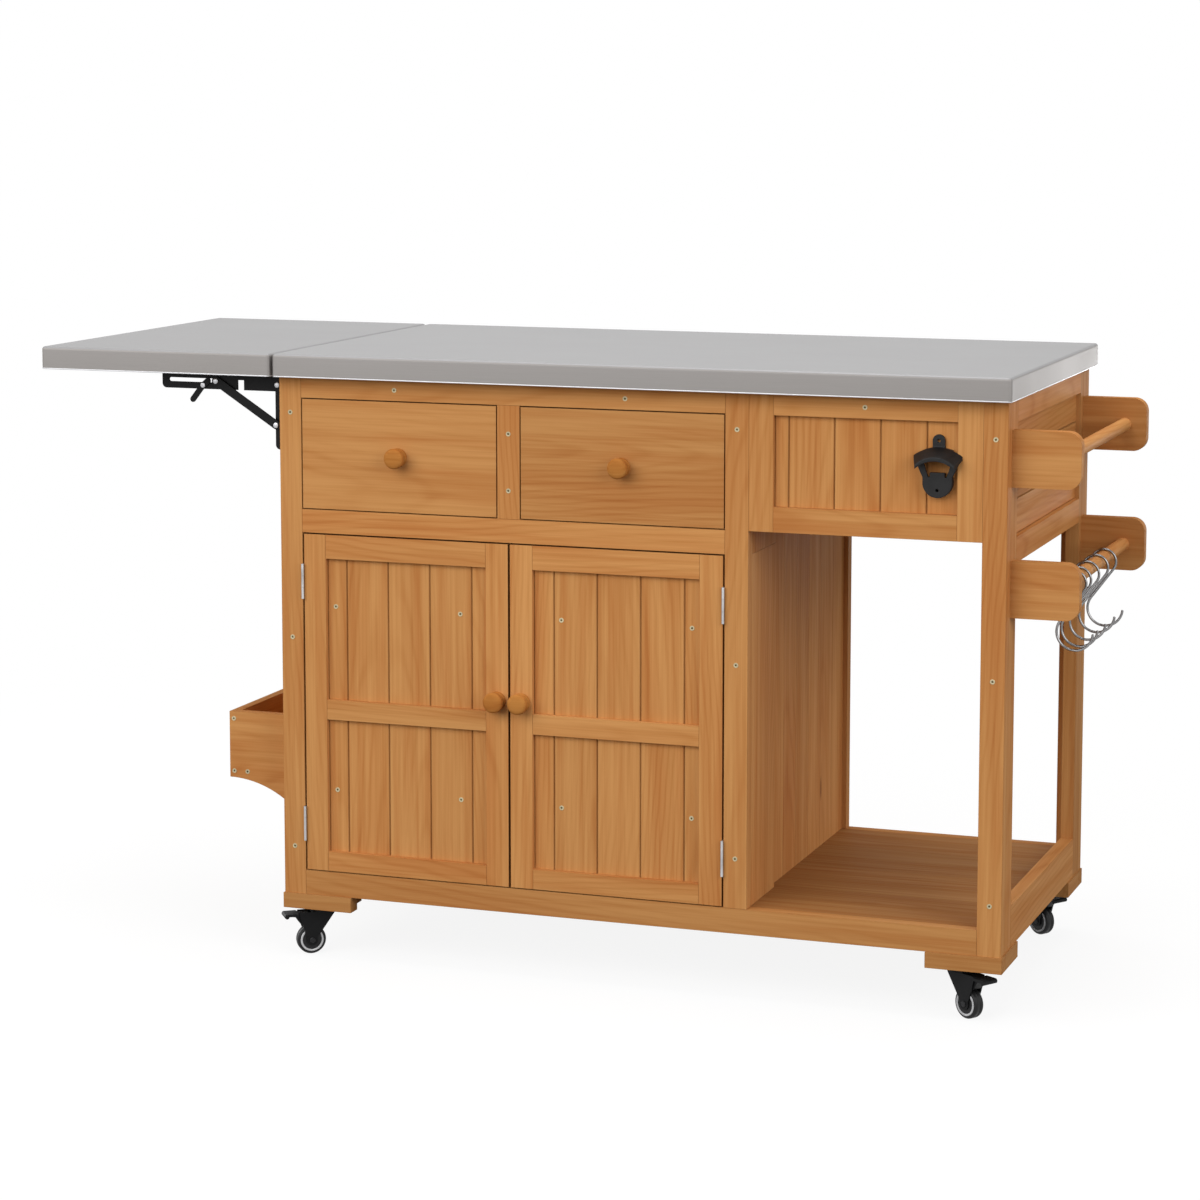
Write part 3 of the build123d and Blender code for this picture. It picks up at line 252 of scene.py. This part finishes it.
# Chrome with a dim base colour and a dark brown tint at its edges: a painted dark reflection.
chrome = coated("chrome_wire", (0.21, 0.208, 0.21), 0.2, 600.0, 1.0, 0.01)
chrome.node_tree.nodes["Principled BSDF"].inputs["Specular Tint"].default_value = (0.2, 0.16, 0.14, 1.0)
hinge_silver = coated("hinge_silver", (0.38, 0.38, 0.385), 0.4, 1100.0, 1.0)
zinc = coated("zinc", (0.36, 0.36, 0.37), 0.4, 1100.0, 1.0)
screw_metal = coated("screw_metal", (0.46, 0.4, 0.25), 0.5, 1100.0, 0.2, gloss=0.2)
# A dark brown for the cross recess of the screws: painted shade in the recess.
screw_recess_shade = coated("screw_recess_painted_shade", (0.09, 0.065, 0.03), 0.6, gloss=0.1)


# Mesh helpers

def solids(mesh):
    """The faces of each solid of a CAD mesh, in order: a solid ends where all its edges have paired up."""
    keys = [tuple(round(c * 1e6) for c in vert.co) for vert in mesh.vertices]
    groups = []
    group = []
    open_edges = set()
    for polygon in mesh.polygons:
        corners = [keys[i] for i in polygon.vertices]
        group.append(corners)
        for a, b in zip(corners, corners[1:] + corners[:1]):
            open_edges ^= {(min(a, b), max(a, b))}
        if not open_edges:
            groups.append(group)
            group = []
    if group:
        groups.append(group)
    return groups


def solid_mesh(faces):
    """One solid with its corners joined and its flat faces whole again."""
    bm = bmesh.new()
    verts = {}
    for corners in faces:
        for key in corners:
            if key not in verts:
                verts[key] = bm.verts.new([c * 1e-6 for c in key])
        loop = [verts[key] for key in corners]
        if len(set(loop)) == len(loop) and bm.faces.get(loop) is None:
            bm.faces.new(loop)
    bmesh.ops.dissolve_limit(bm, angle_limit=radians(0.6), verts=bm.verts, edges=bm.edges)
    return bm


def joined(parts):
    """Puts several meshes into one."""
    whole = bmesh.new()
    for part in parts:
        scratch = bpy.data.meshes.new("scratch")
        part.to_mesh(scratch)
        part.free()
        whole.from_mesh(scratch)
        bpy.data.meshes.remove(scratch)
    return whole


def clean_mesh(mesh):
    """A whole CAD node, solid by solid."""
    return joined([solid_mesh(faces) for faces in solids(mesh)])


def soften(bm, offset, segments, material_index, angle=25.0):
    """Rounds every sharp edge and gives the new narrow faces a material of their own."""
    sharp = [e for e in bm.edges if len(e.link_faces) == 2 and e.calc_face_angle(0.0) > radians(angle)]
    made = bmesh.ops.bevel(bm, geom=sharp, offset=offset, segments=segments, profile=0.5,
                           affect="EDGES", clamp_overlap=True, material=material_index)
    return made["faces"]


def new_object(name, bm, materials, body, replaced=(), smooth=40.0, flat=False):
    """Makes a piece from a mesh, and hands it to its CAD body."""
    mesh = bpy.data.meshes.new(name)
    bm.to_mesh(mesh)
    bm.free()
    for material in materials:
        mesh.materials.append(material)
    for polygon in mesh.polygons:
        polygon.use_smooth = True
    mesh.set_sharp_from_angle(angle=radians(smooth))
    made = bpy.data.objects.new(name, mesh)
    bpy.context.scene.collection.objects.link(made)
    if flat:
        made.modifiers.new("flat faces", "WEIGHTED_NORMAL").keep_sharp = True
    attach(made, body)
    if replaced:
        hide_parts(*replaced)
    return made


def write_grain(mesh, groups, dice):
    """Stores, for each board, coordinates along and across its own grain, and a tone of its own, which for some
    boards also holds painted shade.
    """
    mesh.attributes.new("grain", "FLOAT_VECTOR", "POINT")
    mesh.attributes.new("tone", "FLOAT", "POINT")
    grain = mesh.attributes["grain"]
    tone = mesh.attributes["tone"]
    for group, axis, tint in groups:
        turn = Matrix.Rotation(dice.uniform(0, 2 * pi), 3, "X")
        shift = Vector((dice.uniform(0, 9), dice.uniform(0.02, 0.12), dice.uniform(-0.05, 0.05)))
        board_tone = dice.uniform(0.96, 1.05) * tint
        order = {"X": (0, 1, 2), "Y": (1, 2, 0), "Z": (2, 0, 1)}[axis]
        middle = sum((mesh.vertices[i].co for i in group), Vector()) / len(group)
        for i in group:
            local = mesh.vertices[i].co - middle
            grain.data[i].vector = turn @ Vector([local[k] for k in order]) + shift
            tone.data[i].value = board_tone


def spans(points):
    return [max(p[i] for p in points) - min(p[i] for p in points) for i in range(3)]


def longest_axis(points):
    sizes = spans(points)
    return "XYZ"[sizes.index(max(sizes))]


def thinnest_axis(points):
    sizes = spans(points)
    return "XYZ"[sizes.index(min(sizes))]


def on_side(point, box):
    """Whether a point lies on the left, right, lower or upper side of a box."""
    low, high = box
    return any(min(abs(point[i] - low[i]), abs(point[i] - high[i])) < 1e-4 for i in (0, 2))


face_wood, edge_wood, groove_shade_wood, gap_shade_wood = range(4)
# Painted shade: boards that end below this height are darkened by the factor below.
base_height = 0.135
low_board_shade = 0.88


def wooden(node, round_edge=0.0006, grooves=False, gap_shade_sides=False, ends_run=None,
           tint=1.0, rear_shade=1.0, spread=0.0):
    """Replaces a wooden CAD node: rounded boards, each with its own grain, and painted shade on the groove faces
    between them.

    gap_shade_sides darkens the outer sides of a door or drawer front: painted shade, so that the gaps around doors
    and drawers look dark.
    ends_run is the grain direction of the boards that are thinnest along Y.
    tint makes all the boards of the node paler or darker; for the floor boards and the feet it is painted shade.
    The lowest boards are darker than the rest: painted shade.
    rear_shade does so for the boards in the rear half alone: painted shade.
    spread widens each board along X, so that no light comes through the joints of a back wall.
    """
    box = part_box(node)
    boards = []
    groups = []
    start = 0
    for faces in solids(nodes[node].data):
        bm = solid_mesh(faces)
        for face in bm.faces:
            # Painted shade: with grooves, the slanted groove faces get the darker groove copy of the pine.
            diagonal = sorted(abs(c) for c in face.normal)[1] > 0.5
            face.material_index = groove_shade_wood if grooves and diagonal else face_wood
            # Painted shade: the outer sides of doors and drawer fronts get the dark copy of the pine.
            if gap_shade_sides and abs(face.normal.y) < 0.1 and on_side(face.calc_center_median(), box):
                face.material_index = gap_shade_wood
        points = [v.co for v in bm.verts]
        middle = sum(point.x for point in points) / len(points)
        for point in points:
            point.x += spread if point.x > middle else -spread
        run = longest_axis(points)
        if ends_run and thinnest_axis(points) == "Y":
            run = ends_run
        tone = tint
        # Painted shade: the lowest boards are darker.
        if max(point.z for point in points) < base_height:
            tone *= low_board_shade
        # Painted shade: boards in the rear half are darkened.
        if min(point.y for point in points) > 0.0:
            tone *= rear_shade
        soften(bm, round_edge, 2, edge_wood)
        groups.append((range(start, start + len(bm.verts)), run, tone))
        start += len(bm.verts)
        boards.append(bm)
    materials = (wood, wood_edge, wood_groove_shade, wood_gap_shade)
    whole = joined(boards)
    made = new_object("wood_" + node, whole, materials, body_of[node], (node,), 40.0, True)
    write_grain(made.data, groups, random.Random(node))


def lathe(bm, profile, origin, axis, steps=48):
    """Turns a profile of (radius, height) about an axis through a point."""
    axis = Vector(axis).normalized()
    side = axis.orthogonal().normalized()
    other = axis.cross(side)
    rings = []
    for radius, height in profile:
        centre = Vector(origin) + axis * height
        if radius < 1e-7:
            rings.append([bm.verts.new(centre)])
            continue
        ring = []
        for k in range(steps):
            a = 2 * pi * k / steps
            ring.append(bm.verts.new(centre + (side * cos(a) + other * sin(a)) * radius))
        rings.append(ring)
    for low, high in zip(rings, rings[1:]):
        for k in range(steps):
            m = (k + 1) % steps
            if len(low) == 1:
                bm.faces.new((low[0], high[m], high[k]))
            elif len(high) == 1:
                bm.faces.new((low[k], low[m], high[0]))
            else:
                bm.faces.new((low[k], low[m], high[m], high[k]))
    return rings


# Wooden parts

plain_wood = ["front_rails", "rear_rails", "divider_panel", "cabinet_shelf", "drawer_runners",
              "drawer_box_left", "drawer_box_right"]
for node in plain_wood:
    wooden(node)
# Painted shade: the rear posts are darker.
wooden("stiles", rear_shade=0.8)
# Painted shade: the bay floor and the feet are darker than the rest.
wooden("floor_boards", tint=0.72)
wooden("feet", tint=0.87)
wooden("bar_brackets", tint=0.9)
# Painted shade on the outer sides of the drawer fronts and door frames.
for side in ("left", "right"):
    wooden("drawer_front_" + side, gap_shade_sides=True, tint=0.91)
    wooden("door_frame_" + side, gap_shade_sides=True)
wooden("spice_rack", ends_run="X")
matched_edge = 0.0005
matched_boards = ["left_side_panel", "right_side_apron", "bay_apron", "door_boards_left", "door_boards_right"]
for node in matched_boards:
    wooden(node, matched_edge, True)
wooden("back_panel", matched_edge, True, spread=0.00022)


def turned_knob(node):
    """A turned knob: collar, waist, rounded rim and shallow dome, with its grain across the face."""
    low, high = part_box(node)
    x, z = (low[0] + high[0]) / 2, (low[2] + high[2]) / 2
    head = (high[0] - low[0]) / 2
    reach = high[1] - low[1]
    profile = [(0.0, 0.0), (0.0137, 0.0), (0.014, 0.0006), (0.014, 0.0032), (0.0133, 0.0041),
               (0.0108, 0.0056), (0.0092, 0.0078), (0.0091, 0.0098), (0.0102, 0.0108)]
    rim = 0.0036
    base = 0.0112
    dome = 0.0048
    for k in range(7):
        a = -pi / 2 + pi / 2 * k / 6
        profile.append((head - rim + rim * cos(a), base + rim + rim * sin(a)))
    shoulder = reach - dome
    for k in range(9):
        a = pi / 2 * k / 8
        profile.append((head * cos(a) ** 0.55 if k < 8 else 0.0, shoulder + (reach - shoulder) * sin(a)))
    bm = bmesh.new()
    lathe(bm, profile, (x, high[1], z), (0, -1, 0))
    made = new_object("wood_" + node, bm, (wood_knob,), body_of[node], (node,), 50.0)
    group = list(range(len(made.data.vertices)))
    write_grain(made.data, [(group, "X", 1.0)], random.Random(node))


for side in ("left", "right"):
    turned_knob("drawer_knob_" + side)
    turned_knob("door_knob_" + side)


def dowel(node):
    """A round rail with softly rounded ends and grain along it."""
    low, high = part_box(node)
    x, z = (low[0] + high[0]) / 2, (low[2] + high[2]) / 2
    radius = (high[0] - low[0]) / 2
    length = high[1] - low[1]
    profile = [(0.0, 0.0), (radius, 0.0)]
    profile += [(radius, length * k / 24) for k in range(1, 24)]
    profile += [(radius, length), (0.0, length)]
    bm = bmesh.new()
    lathe(bm, profile, (x, low[1], z), (0, 1, 0))
    made = new_object("wood_" + node, bm, (wood,), body_of[node], (node,), 50.0)
    write_grain(made.data, [(list(range(len(made.data.vertices))), "Y", 1.0)], random.Random(node))


dowel("towel_bar")
dowel("hook_bar")


# Steel worktop and leaf

def steel_pan(node, body):
    """The folded sheet with its flat faces whole, its sides in a darker copy of the steel as painted shade, and a
    hem along its lower edge in a much paler copy as a painted highlight.
    """
    bm = clean_mesh(nodes[node].data)
    for face in bm.faces:
        # Painted shade: faces that don't face up get the darker copy of the steel.
        face.material_index = 1 if abs(face.normal.z) < 0.5 else 0
    new_object("steel_" + node, bm, (steel_top, steel_shaded_side), body, (node,), 30.0)
    low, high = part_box(node)
    radius = 0.0011
    inset = radius * 0.6
    rise = radius * 0.7
    corner = 0.005
    sides = 8
    x0, x1, y0, y1 = low[0] + inset, high[0] - inset, low[1] + inset, high[1] - inset
    path = []
    for cx, cy, start in ((x1 - corner, y1 - corner, 0), (x0 + corner, y1 - corner, 90),
                          (x0 + corner, y0 + corner, 180), (x1 - corner, y0 + corner, 270)):
        for k in range(7):
            a = radians(start + 15 * k)
            path.append(Vector((cx + corner * cos(a), cy + corner * sin(a), low[2] + rise)))
    bm = bmesh.new()
    rings = []
    count = len(path)
    for i, point in enumerate(path):
        along = (path[(i + 1) % count] - path[i - 1]).normalized()
        out = along.cross(Vector((0, 0, 1)))
        ring = []
        for k in range(sides):
            a = 2 * pi * k / sides
            ring.append(bm.verts.new(point + (out * cos(a) + Vector((0, 0, 1)) * sin(a)) * radius))
        rings.append(ring)
    for i in range(count):
        a, b = rings[i], rings[(i + 1) % count]
        for k in range(sides):
            m = (k + 1) % sides
            bm.faces.new((a[k], b[k], b[m], a[m]))
    bmesh.ops.recalc_face_normals(bm, faces=bm.faces)
    # The hem carries the painted highlight along the lower edge.
    new_object("hem_" + node, bm, (steel_hem_highlight,), body, (), 60.0)


steel_pan("worktop_skin", "cart")
steel_pan("leaf_skin", "leaf")
for node in ("worktop_core", "leaf_core"):
    bm = clean_mesh(nodes[node].data)
    new_object("board_" + node, bm, (core_board,), body_of[node], (node,), 30.0)


# Black iron brackets, casters and zinc fittings

caster_corners = ("front_left", "front_right", "rear_right", "rear_left")


def fitting(node, offset, materials, smooth=35.0):
    """A metal CAD node with its edges rounded, the rounds in the last of its materials; on black iron they are
    paler, partly wear and partly painted highlight.
    """
    pieces = []
    for faces in solids(nodes[node].data):
        bm = solid_mesh(faces)
        soften(bm, offset, 2, len(materials) - 1)
        pieces.append(bm)
    new_object("metal_" + node, joined(pieces), materials, body_of[node], (node,), smooth, True)


for node in ("leaf_arms", "wall_arms", "leaf_struts", "release_lever_front", "release_lever_rear"):
    fitting(node, 0.0003, (black_iron, black_edge))
for corner in caster_corners:
    fitting("caster_fork_" + corner, 0.0004, (black_iron, black_edge))
    fitting("caster_pedal_" + corner, 0.0006, (black_iron, black_edge))
fitting("caster_plates", 0.0003, (black_iron, black_edge))
for node in ("door_fittings", "door_hardware_left", "door_hardware_right"):
    fitting(node, 0.0001, (hinge_silver,))


def rivet(name, x, y, z, hand, radius, body, height=0.0014):
    """A domed rivet head that faces the front (hand -1) or the back (hand 1)."""
    bm = bmesh.new()
    rim = height * 0.2
    profile = [(radius, 0.0), (radius, rim)]
    for k in range(1, 6):
        a = pi / 2 * k / 6
        profile.append((radius * cos(a), rim + (height - rim) * sin(a)))
    profile.append((0.0, height))
    lathe(bm, profile, (x, y, z), (0, hand, 0), 32)
    new_object(name, bm, (zinc,), body, (), 50.0)


arms_low, arms_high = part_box("wall_arms")
struts_low, struts_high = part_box("leaf_struts")
levers = {"front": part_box("release_lever_front"), "rear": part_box("release_lever_rear")}
leaf_pin = joints["leaf_fold"]["pos_m"]
strut_pin = joints["strut_swing"]["pos_m"]
strut_turn = radians(147.53)
strut_length = 0.11735
pin_radius = 0.0042
pin_seat = 0.0011
lever_pin_radius = 0.0036
lever_pin_height = 0.0002
for end, hand in (("front", -1), ("rear", 1)):
    wall_y = arms_low[1] if hand < 0 else arms_high[1]
    strut_y = struts_low[1] if hand < 0 else struts_high[1]
    lever_y = levers[end][0][1] if hand < 0 else levers[end][1][1]
    arm_pin_y = lever_y - hand * pin_seat
    rivet("rivet_leaf_" + end, leaf_pin[0], arm_pin_y, leaf_pin[2], hand, pin_radius, "cart")
    rivet("rivet_strut_" + end, strut_pin[0], wall_y, strut_pin[2], hand, pin_radius, "cart")
    tip_x = strut_pin[0] + strut_length * cos(strut_turn)
    tip_z = strut_pin[2] + strut_length * sin(strut_turn)
    rivet("rivet_slot_" + end, tip_x, strut_y, tip_z, hand, pin_radius, "struts")
    press = joints["lever_" + end + "_press"]["pos_m"]
    rivet("rivet_lever_" + end, press[0], lever_y, press[2], hand, lever_pin_radius,
          "lever_" + end, lever_pin_height)


# Wheels

def wheel(corner):
    """Tread with two fine moulding lines, a hub recess, and the grey ring on each face."""
    name = "caster_wheel_" + corner
    body = body_of[name]
    joint = joints["caster_roll_" + corner]
    centre = Vector(joint["pos_m"])
    axle = Vector(joint["axis"]).normalized()
    half = 0.0085
    radius = 0.022
    edge = 0.004
    hub = half - 0.001
    face = half - 0.0005
    bm = bmesh.new()
    profile = [(0.0031, -hub), (0.0075, -hub), (0.0082, -half), (0.0142, -half), (0.0145, -face),
               (0.0178, -face), (0.018, -half)]
    for k in range(7):
        a = -pi / 2 + pi / 2 * k / 6
        profile.append((radius - edge + edge * cos(a), -half + edge + edge * sin(a)))
    profile += [(radius, -0.0016), (0.0217, -0.0012), (0.0217, 0.0012), (radius, 0.0016)]
    profile += [(r, -h) for r, h in reversed(profile[:14])]
    profile.append(profile[0])
    lathe(bm, profile, centre, axle, 64)
    bmesh.ops.remove_doubles(bm, verts=bm.verts, dist=1e-7)
    bmesh.ops.recalc_face_normals(bm, faces=bm.faces)
    new_object("tread_" + corner, bm, (black_plastic,), body, (name,), 40.0)
    for hand in (-1, 1):
        bm = bmesh.new()
        ring = [(0.0146, face), (0.0148, face + 0.0007), (0.0152, face + 0.001), (0.0172, face + 0.001),
                (0.0176, face + 0.0007), (0.0177, face)]
        lathe(bm, ring, centre, axle * hand, 64)
        ring_name = "ring_" + corner + ("_in" if hand < 0 else "_out")
        new_object(ring_name, bm, (ring_grey,), body, (), 50.0)
    bm = bmesh.new()
    outer = 0.011
    for hand in (-1, 1):
        nut = [(0.0046, outer), (0.0046, outer + 0.0012), (0.0038, outer + 0.0019), (0.0, outer + 0.0021)]
        lathe(bm, nut, centre, axle * hand, 6)
    fork = "caster_fork_" + corner
    new_object("axle_nut_" + corner, bm, (black_edge,), fork, (), 30.0)


for corner in caster_corners:
    wheel(corner)


# Cast bottle opener

def cast_opener():
    """The opener as one casting, its corners melted together."""
    bm = clean_mesh(nodes["bottle_opener"].data)
    made = new_object("opener_cast", bm, (cast_black,), "cart", ("bottle_opener",), 60.0)
    remesh = made.modifiers.new("remesh", "REMESH")
    remesh.mode = "VOXEL"
    remesh.voxel_size = 0.0006
    remesh.use_smooth_shade = True
    smooth = made.modifiers.new("smooth", "SMOOTH")
    smooth.factor = 0.5
    smooth.iterations = 5


cast_opener()


# Wire hooks

def wire_hook(index):
    """An S-hook of polished wire with domed ends, on the same line as its CAD node."""
    name = "steel_hook_" + str(index)
    low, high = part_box(name)
    joint = joints["hook_" + str(index) + "_swing"]
    wire, upper_r, lower_r, drop, offset = 0.0019, 0.018, 0.026, 0.07, 0.0027
    heel, toe = radians(188), radians(354)
    sides = 14
    dome = wire * 0.8
    y = (low[1] + high[1]) / 2
    upper = Vector((joint["pos_m"][0], y, high[2] - wire - upper_r))
    lower = upper + Vector((offset, 0, -drop))
    turn = atan2(-drop, offset) + acos((upper_r + lower_r) / hypot(offset, drop))

    def arc(centre, radius, start, end, steps):
        return [centre + Vector((cos(a), 0, sin(a))) * radius
                for a in (start + (end - start) * k / steps for k in range(steps + 1))]

    path = arc(upper, upper_r, heel, turn, 36) + arc(lower, lower_r, turn + pi, toe, 40)
    bm = bmesh.new()
    rings = []
    side = Vector((0, 1, 0))
    for i, point in enumerate(path):
        along = (path[min(i + 1, len(path) - 1)] - path[max(i - 1, 0)]).normalized()
        out = along.cross(side)
        ring = []
        for k in range(sides):
            a = 2 * pi * k / sides
            ring.append(bm.verts.new(point + (out * cos(a) + side * sin(a)) * wire))
        rings.append(ring)
    for a, b in zip(rings, rings[1:]):
        for k in range(sides):
            m = (k + 1) % sides
            bm.faces.new((a[k], b[k], b[m], a[m]))
    for tip, inner in ((path[0], path[1]), (path[-1], path[-2])):
        out = (tip - inner).normalized()
        cap = [(wire, 0.0)]
        for k in range(1, 5):
            a = pi / 2 * k / 5
            cap.append((wire * cos(a), dome * sin(a)))
        cap.append((0.0, dome))
        lathe(bm, cap, tip, out, sides)
    bmesh.ops.recalc_face_normals(bm, faces=bm.faces)
    new_object("wire_" + name, bm, (chrome,), body_of[name], (name,), 60.0)


for index in range(1, 6):
    wire_hook(index)


# Screws

def screw(bm, x, y, z, radius=0.0036):
    """A countersunk head with a rim, a dished face and a cross recess, facing the front; the recess is painted
    dark as shade.
    """
    place = (x, y, z)
    front = (0, -1, 0)
    mouth = radius * 0.42
    head = [(radius, 0.0), (radius, 0.0004), (radius * 0.92, 0.0007), (radius * 0.6, 0.0006), (mouth, 0.0005)]
    lathe(bm, head, place, front, 24)
    recess = [(mouth, 0.0005), (radius * 0.3, 0.0001), (0.0, 0.00005)]
    # Painted shade: the faces of the recess get the dark recess material.
    for ring in lathe(bm, recess, place, front, 24):
        for vert in ring:
            for face in vert.link_faces:
                face.material_index = 1


def screws_on(name, places, body, replaced=()):
    bm = bmesh.new()
    for place in places:
        screw(bm, *place)
    new_object(name, bm, (screw_metal, screw_recess_shade), body, replaced, 35.0)


places = []
for faces in solids(nodes["frame_screws"].data):
    points = {key for corners in faces for key in corners}
    lows = [min(p[i] for p in points) * 1e-6 for i in range(3)]
    highs = [max(p[i] for p in points) * 1e-6 for i in range(3)]
    places.append(((lows[0] + highs[0]) / 2, highs[1], (lows[2] + highs[2]) / 2))
screws_on("screws_frame", places, "cart", ("frame_screws",))
screw_reaches = (0.048, 0.2475)
screw_heights = (0.537, 0.2594)
for side in ("left", "right"):
    low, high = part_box("door_frame_" + side)
    board_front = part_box("door_boards_" + side)[0][1]
    hinge_x, inward = (low[0], 1) if side == "left" else (high[0], -1)
    places = [(hinge_x + inward * dx, board_front, z) for dx in screw_reaches for z in screw_heights]
    screws_on("screws_door_" + side, places, "door_" + side)


# Stage, light and camera

def stage():
    """A pale floor that keeps a faint shadow and fades into a white background."""
    floor = bpy.data.meshes.new("floor")
    span = 30.0
    near, away = 0.9, 2.4
    outline = [(-span, -span, 0), (span, -span, 0), (span, span, 0), (-span, span, 0)]
    floor.from_pydata(outline, [], [(0, 1, 2, 3)])
    plane = bpy.data.objects.new("floor", floor)
    bpy.context.scene.collection.objects.link(plane)
    s = Shader("floor_pale")
    place = s.node("ShaderNodeTexCoord").outputs["Object"]
    ray = s.node("ShaderNodeLightPath")
    shown = s.math("MAXIMUM", ray.outputs["Is Camera Ray"], ray.outputs["Is Glossy Ray"])
    shown = s.math("MAXIMUM", shown, ray.outputs["Is Transmission Ray"])
    cloud = s.noise(place, (6.0, 6.0, 6.0), 3.0)
    unseen = s.ramp(cloud, (0.3, (0.11, 0.11, 0.11)), (0.7, (0.13, 0.13, 0.13)))
    s.set(Base_Color=s.mix(shown, unseen, (0.8, 0.8, 0.8)))
    s.surface.inputs["Roughness"].default_value = 0.9
    s.surface.inputs["Specular IOR Level"].default_value = 0.1
    far = s.node("ShaderNodeVectorMath", operation="LENGTH")
    s.feed(far.inputs[0], place)
    white = s.node("ShaderNodeEmission")
    s.feed(white.inputs["Strength"], s.range(far.outputs["Value"], near, away, 1.04, 1.0))
    blend = s.node("ShaderNodeMixShader")
    fade = s.range(far.outputs["Value"], near, away, 0.85, 1.0)
    s.feed(blend.inputs[0], s.math("MULTIPLY", shown, fade))
    s.feed(blend.inputs[1], s.surface.outputs[0])
    s.feed(blend.inputs[2], white.outputs[0])
    s.feed(s.tree.nodes["Material Output"].inputs["Surface"], blend.outputs[0])
    floor.materials.append(s.material)


def area(name, place, target, size, power):
    """A rectangular lamp that faces a point."""
    light = bpy.data.lights.new(name, "AREA")
    light.shape = "RECTANGLE"
    light.size, light.size_y = size
    light.energy = power
    made = bpy.data.objects.new(name, light)
    made.location = place
    made.rotation_mode = "QUATERNION"
    made.rotation_quaternion = (Vector(target) - Vector(place)).to_track_quat("-Z", "Y")
    bpy.context.scene.collection.objects.link(made)


stage()
area("key", (-1.9, -3.9, 2.7), (0.0, 0.0, 0.5), (5.0, 3.6), 175.0)
area("fill", (3.9, -2.2, 2.2), (0.2, 0.0, 0.5), (3.6, 2.8), 90.0)
area("rear", (1.3, 4.4, 0.5), (0.0, 0.0, 0.5), (3.0, 0.6), 40.0)
area("left", (-3.9, 1.9, 0.55), (-0.3, 0.0, 0.5), (2.6, 0.6), 34.0)
area("top", (0.0, 0.1, 3.8), (0.0, 0.0, 0.8), (3.2, 2.4), 78.0)

world = bpy.data.worlds.new("studio")
bpy.context.scene.world = world
world.use_nodes = True
tree = world.node_tree
seen = tree.nodes["Background"]
seen.inputs["Color"].default_value = (1.0, 1.0, 1.0, 1.0)
seen.inputs["Strength"].default_value = 1.0
lit = tree.nodes.new("ShaderNodeBackground")
lit.inputs["Color"].default_value = (1.0, 0.99, 0.98, 1.0)
lit.inputs["Strength"].default_value = 0.32
ray = tree.nodes.new("ShaderNodeLightPath")
blend = tree.nodes.new("ShaderNodeMixShader")
mirrored = tree.nodes.new("ShaderNodeMath")
mirrored.operation = "MAXIMUM"
tree.links.new(ray.outputs["Is Glossy Ray"], mirrored.inputs[0])
tree.links.new(ray.outputs["Is Transmission Ray"], mirrored.inputs[1])
shown = tree.nodes.new("ShaderNodeMath")
shown.operation = "MAXIMUM"
tree.links.new(ray.outputs["Is Camera Ray"], shown.inputs[0])
tree.links.new(mirrored.outputs[0], shown.inputs[1])
tree.links.new(shown.outputs[0], blend.inputs[0])
tree.links.new(lit.outputs[0], blend.inputs[1])
tree.links.new(seen.outputs[0], blend.inputs[2])
tree.links.new(blend.outputs[0], tree.nodes["World Output"].inputs["Surface"])

picture_pixels = 1200.0
focal_pixels = 3277.5
camera = bpy.data.cameras.new("camera")
camera.sensor_width = 36.0
camera.lens = focal_pixels * camera.sensor_width / picture_pixels
camera.shift_y = -0.12
camera.clip_end = 100.0
eye = bpy.data.objects.new("camera", camera)
eye.location = (1.6767, -4.6646, 1.33825)
yaw, pitch = 0.3451, 0.1191
look = Vector((-sin(yaw) * cos(pitch), cos(yaw) * cos(pitch), -sin(pitch)))
eye.rotation_mode = "QUATERNION"
eye.rotation_quaternion = look.to_track_quat("-Z", "Y")
bpy.context.scene.collection.objects.link(eye)
bpy.context.scene.camera = eye
bpy.context.scene.view_settings.view_transform = "Standard"
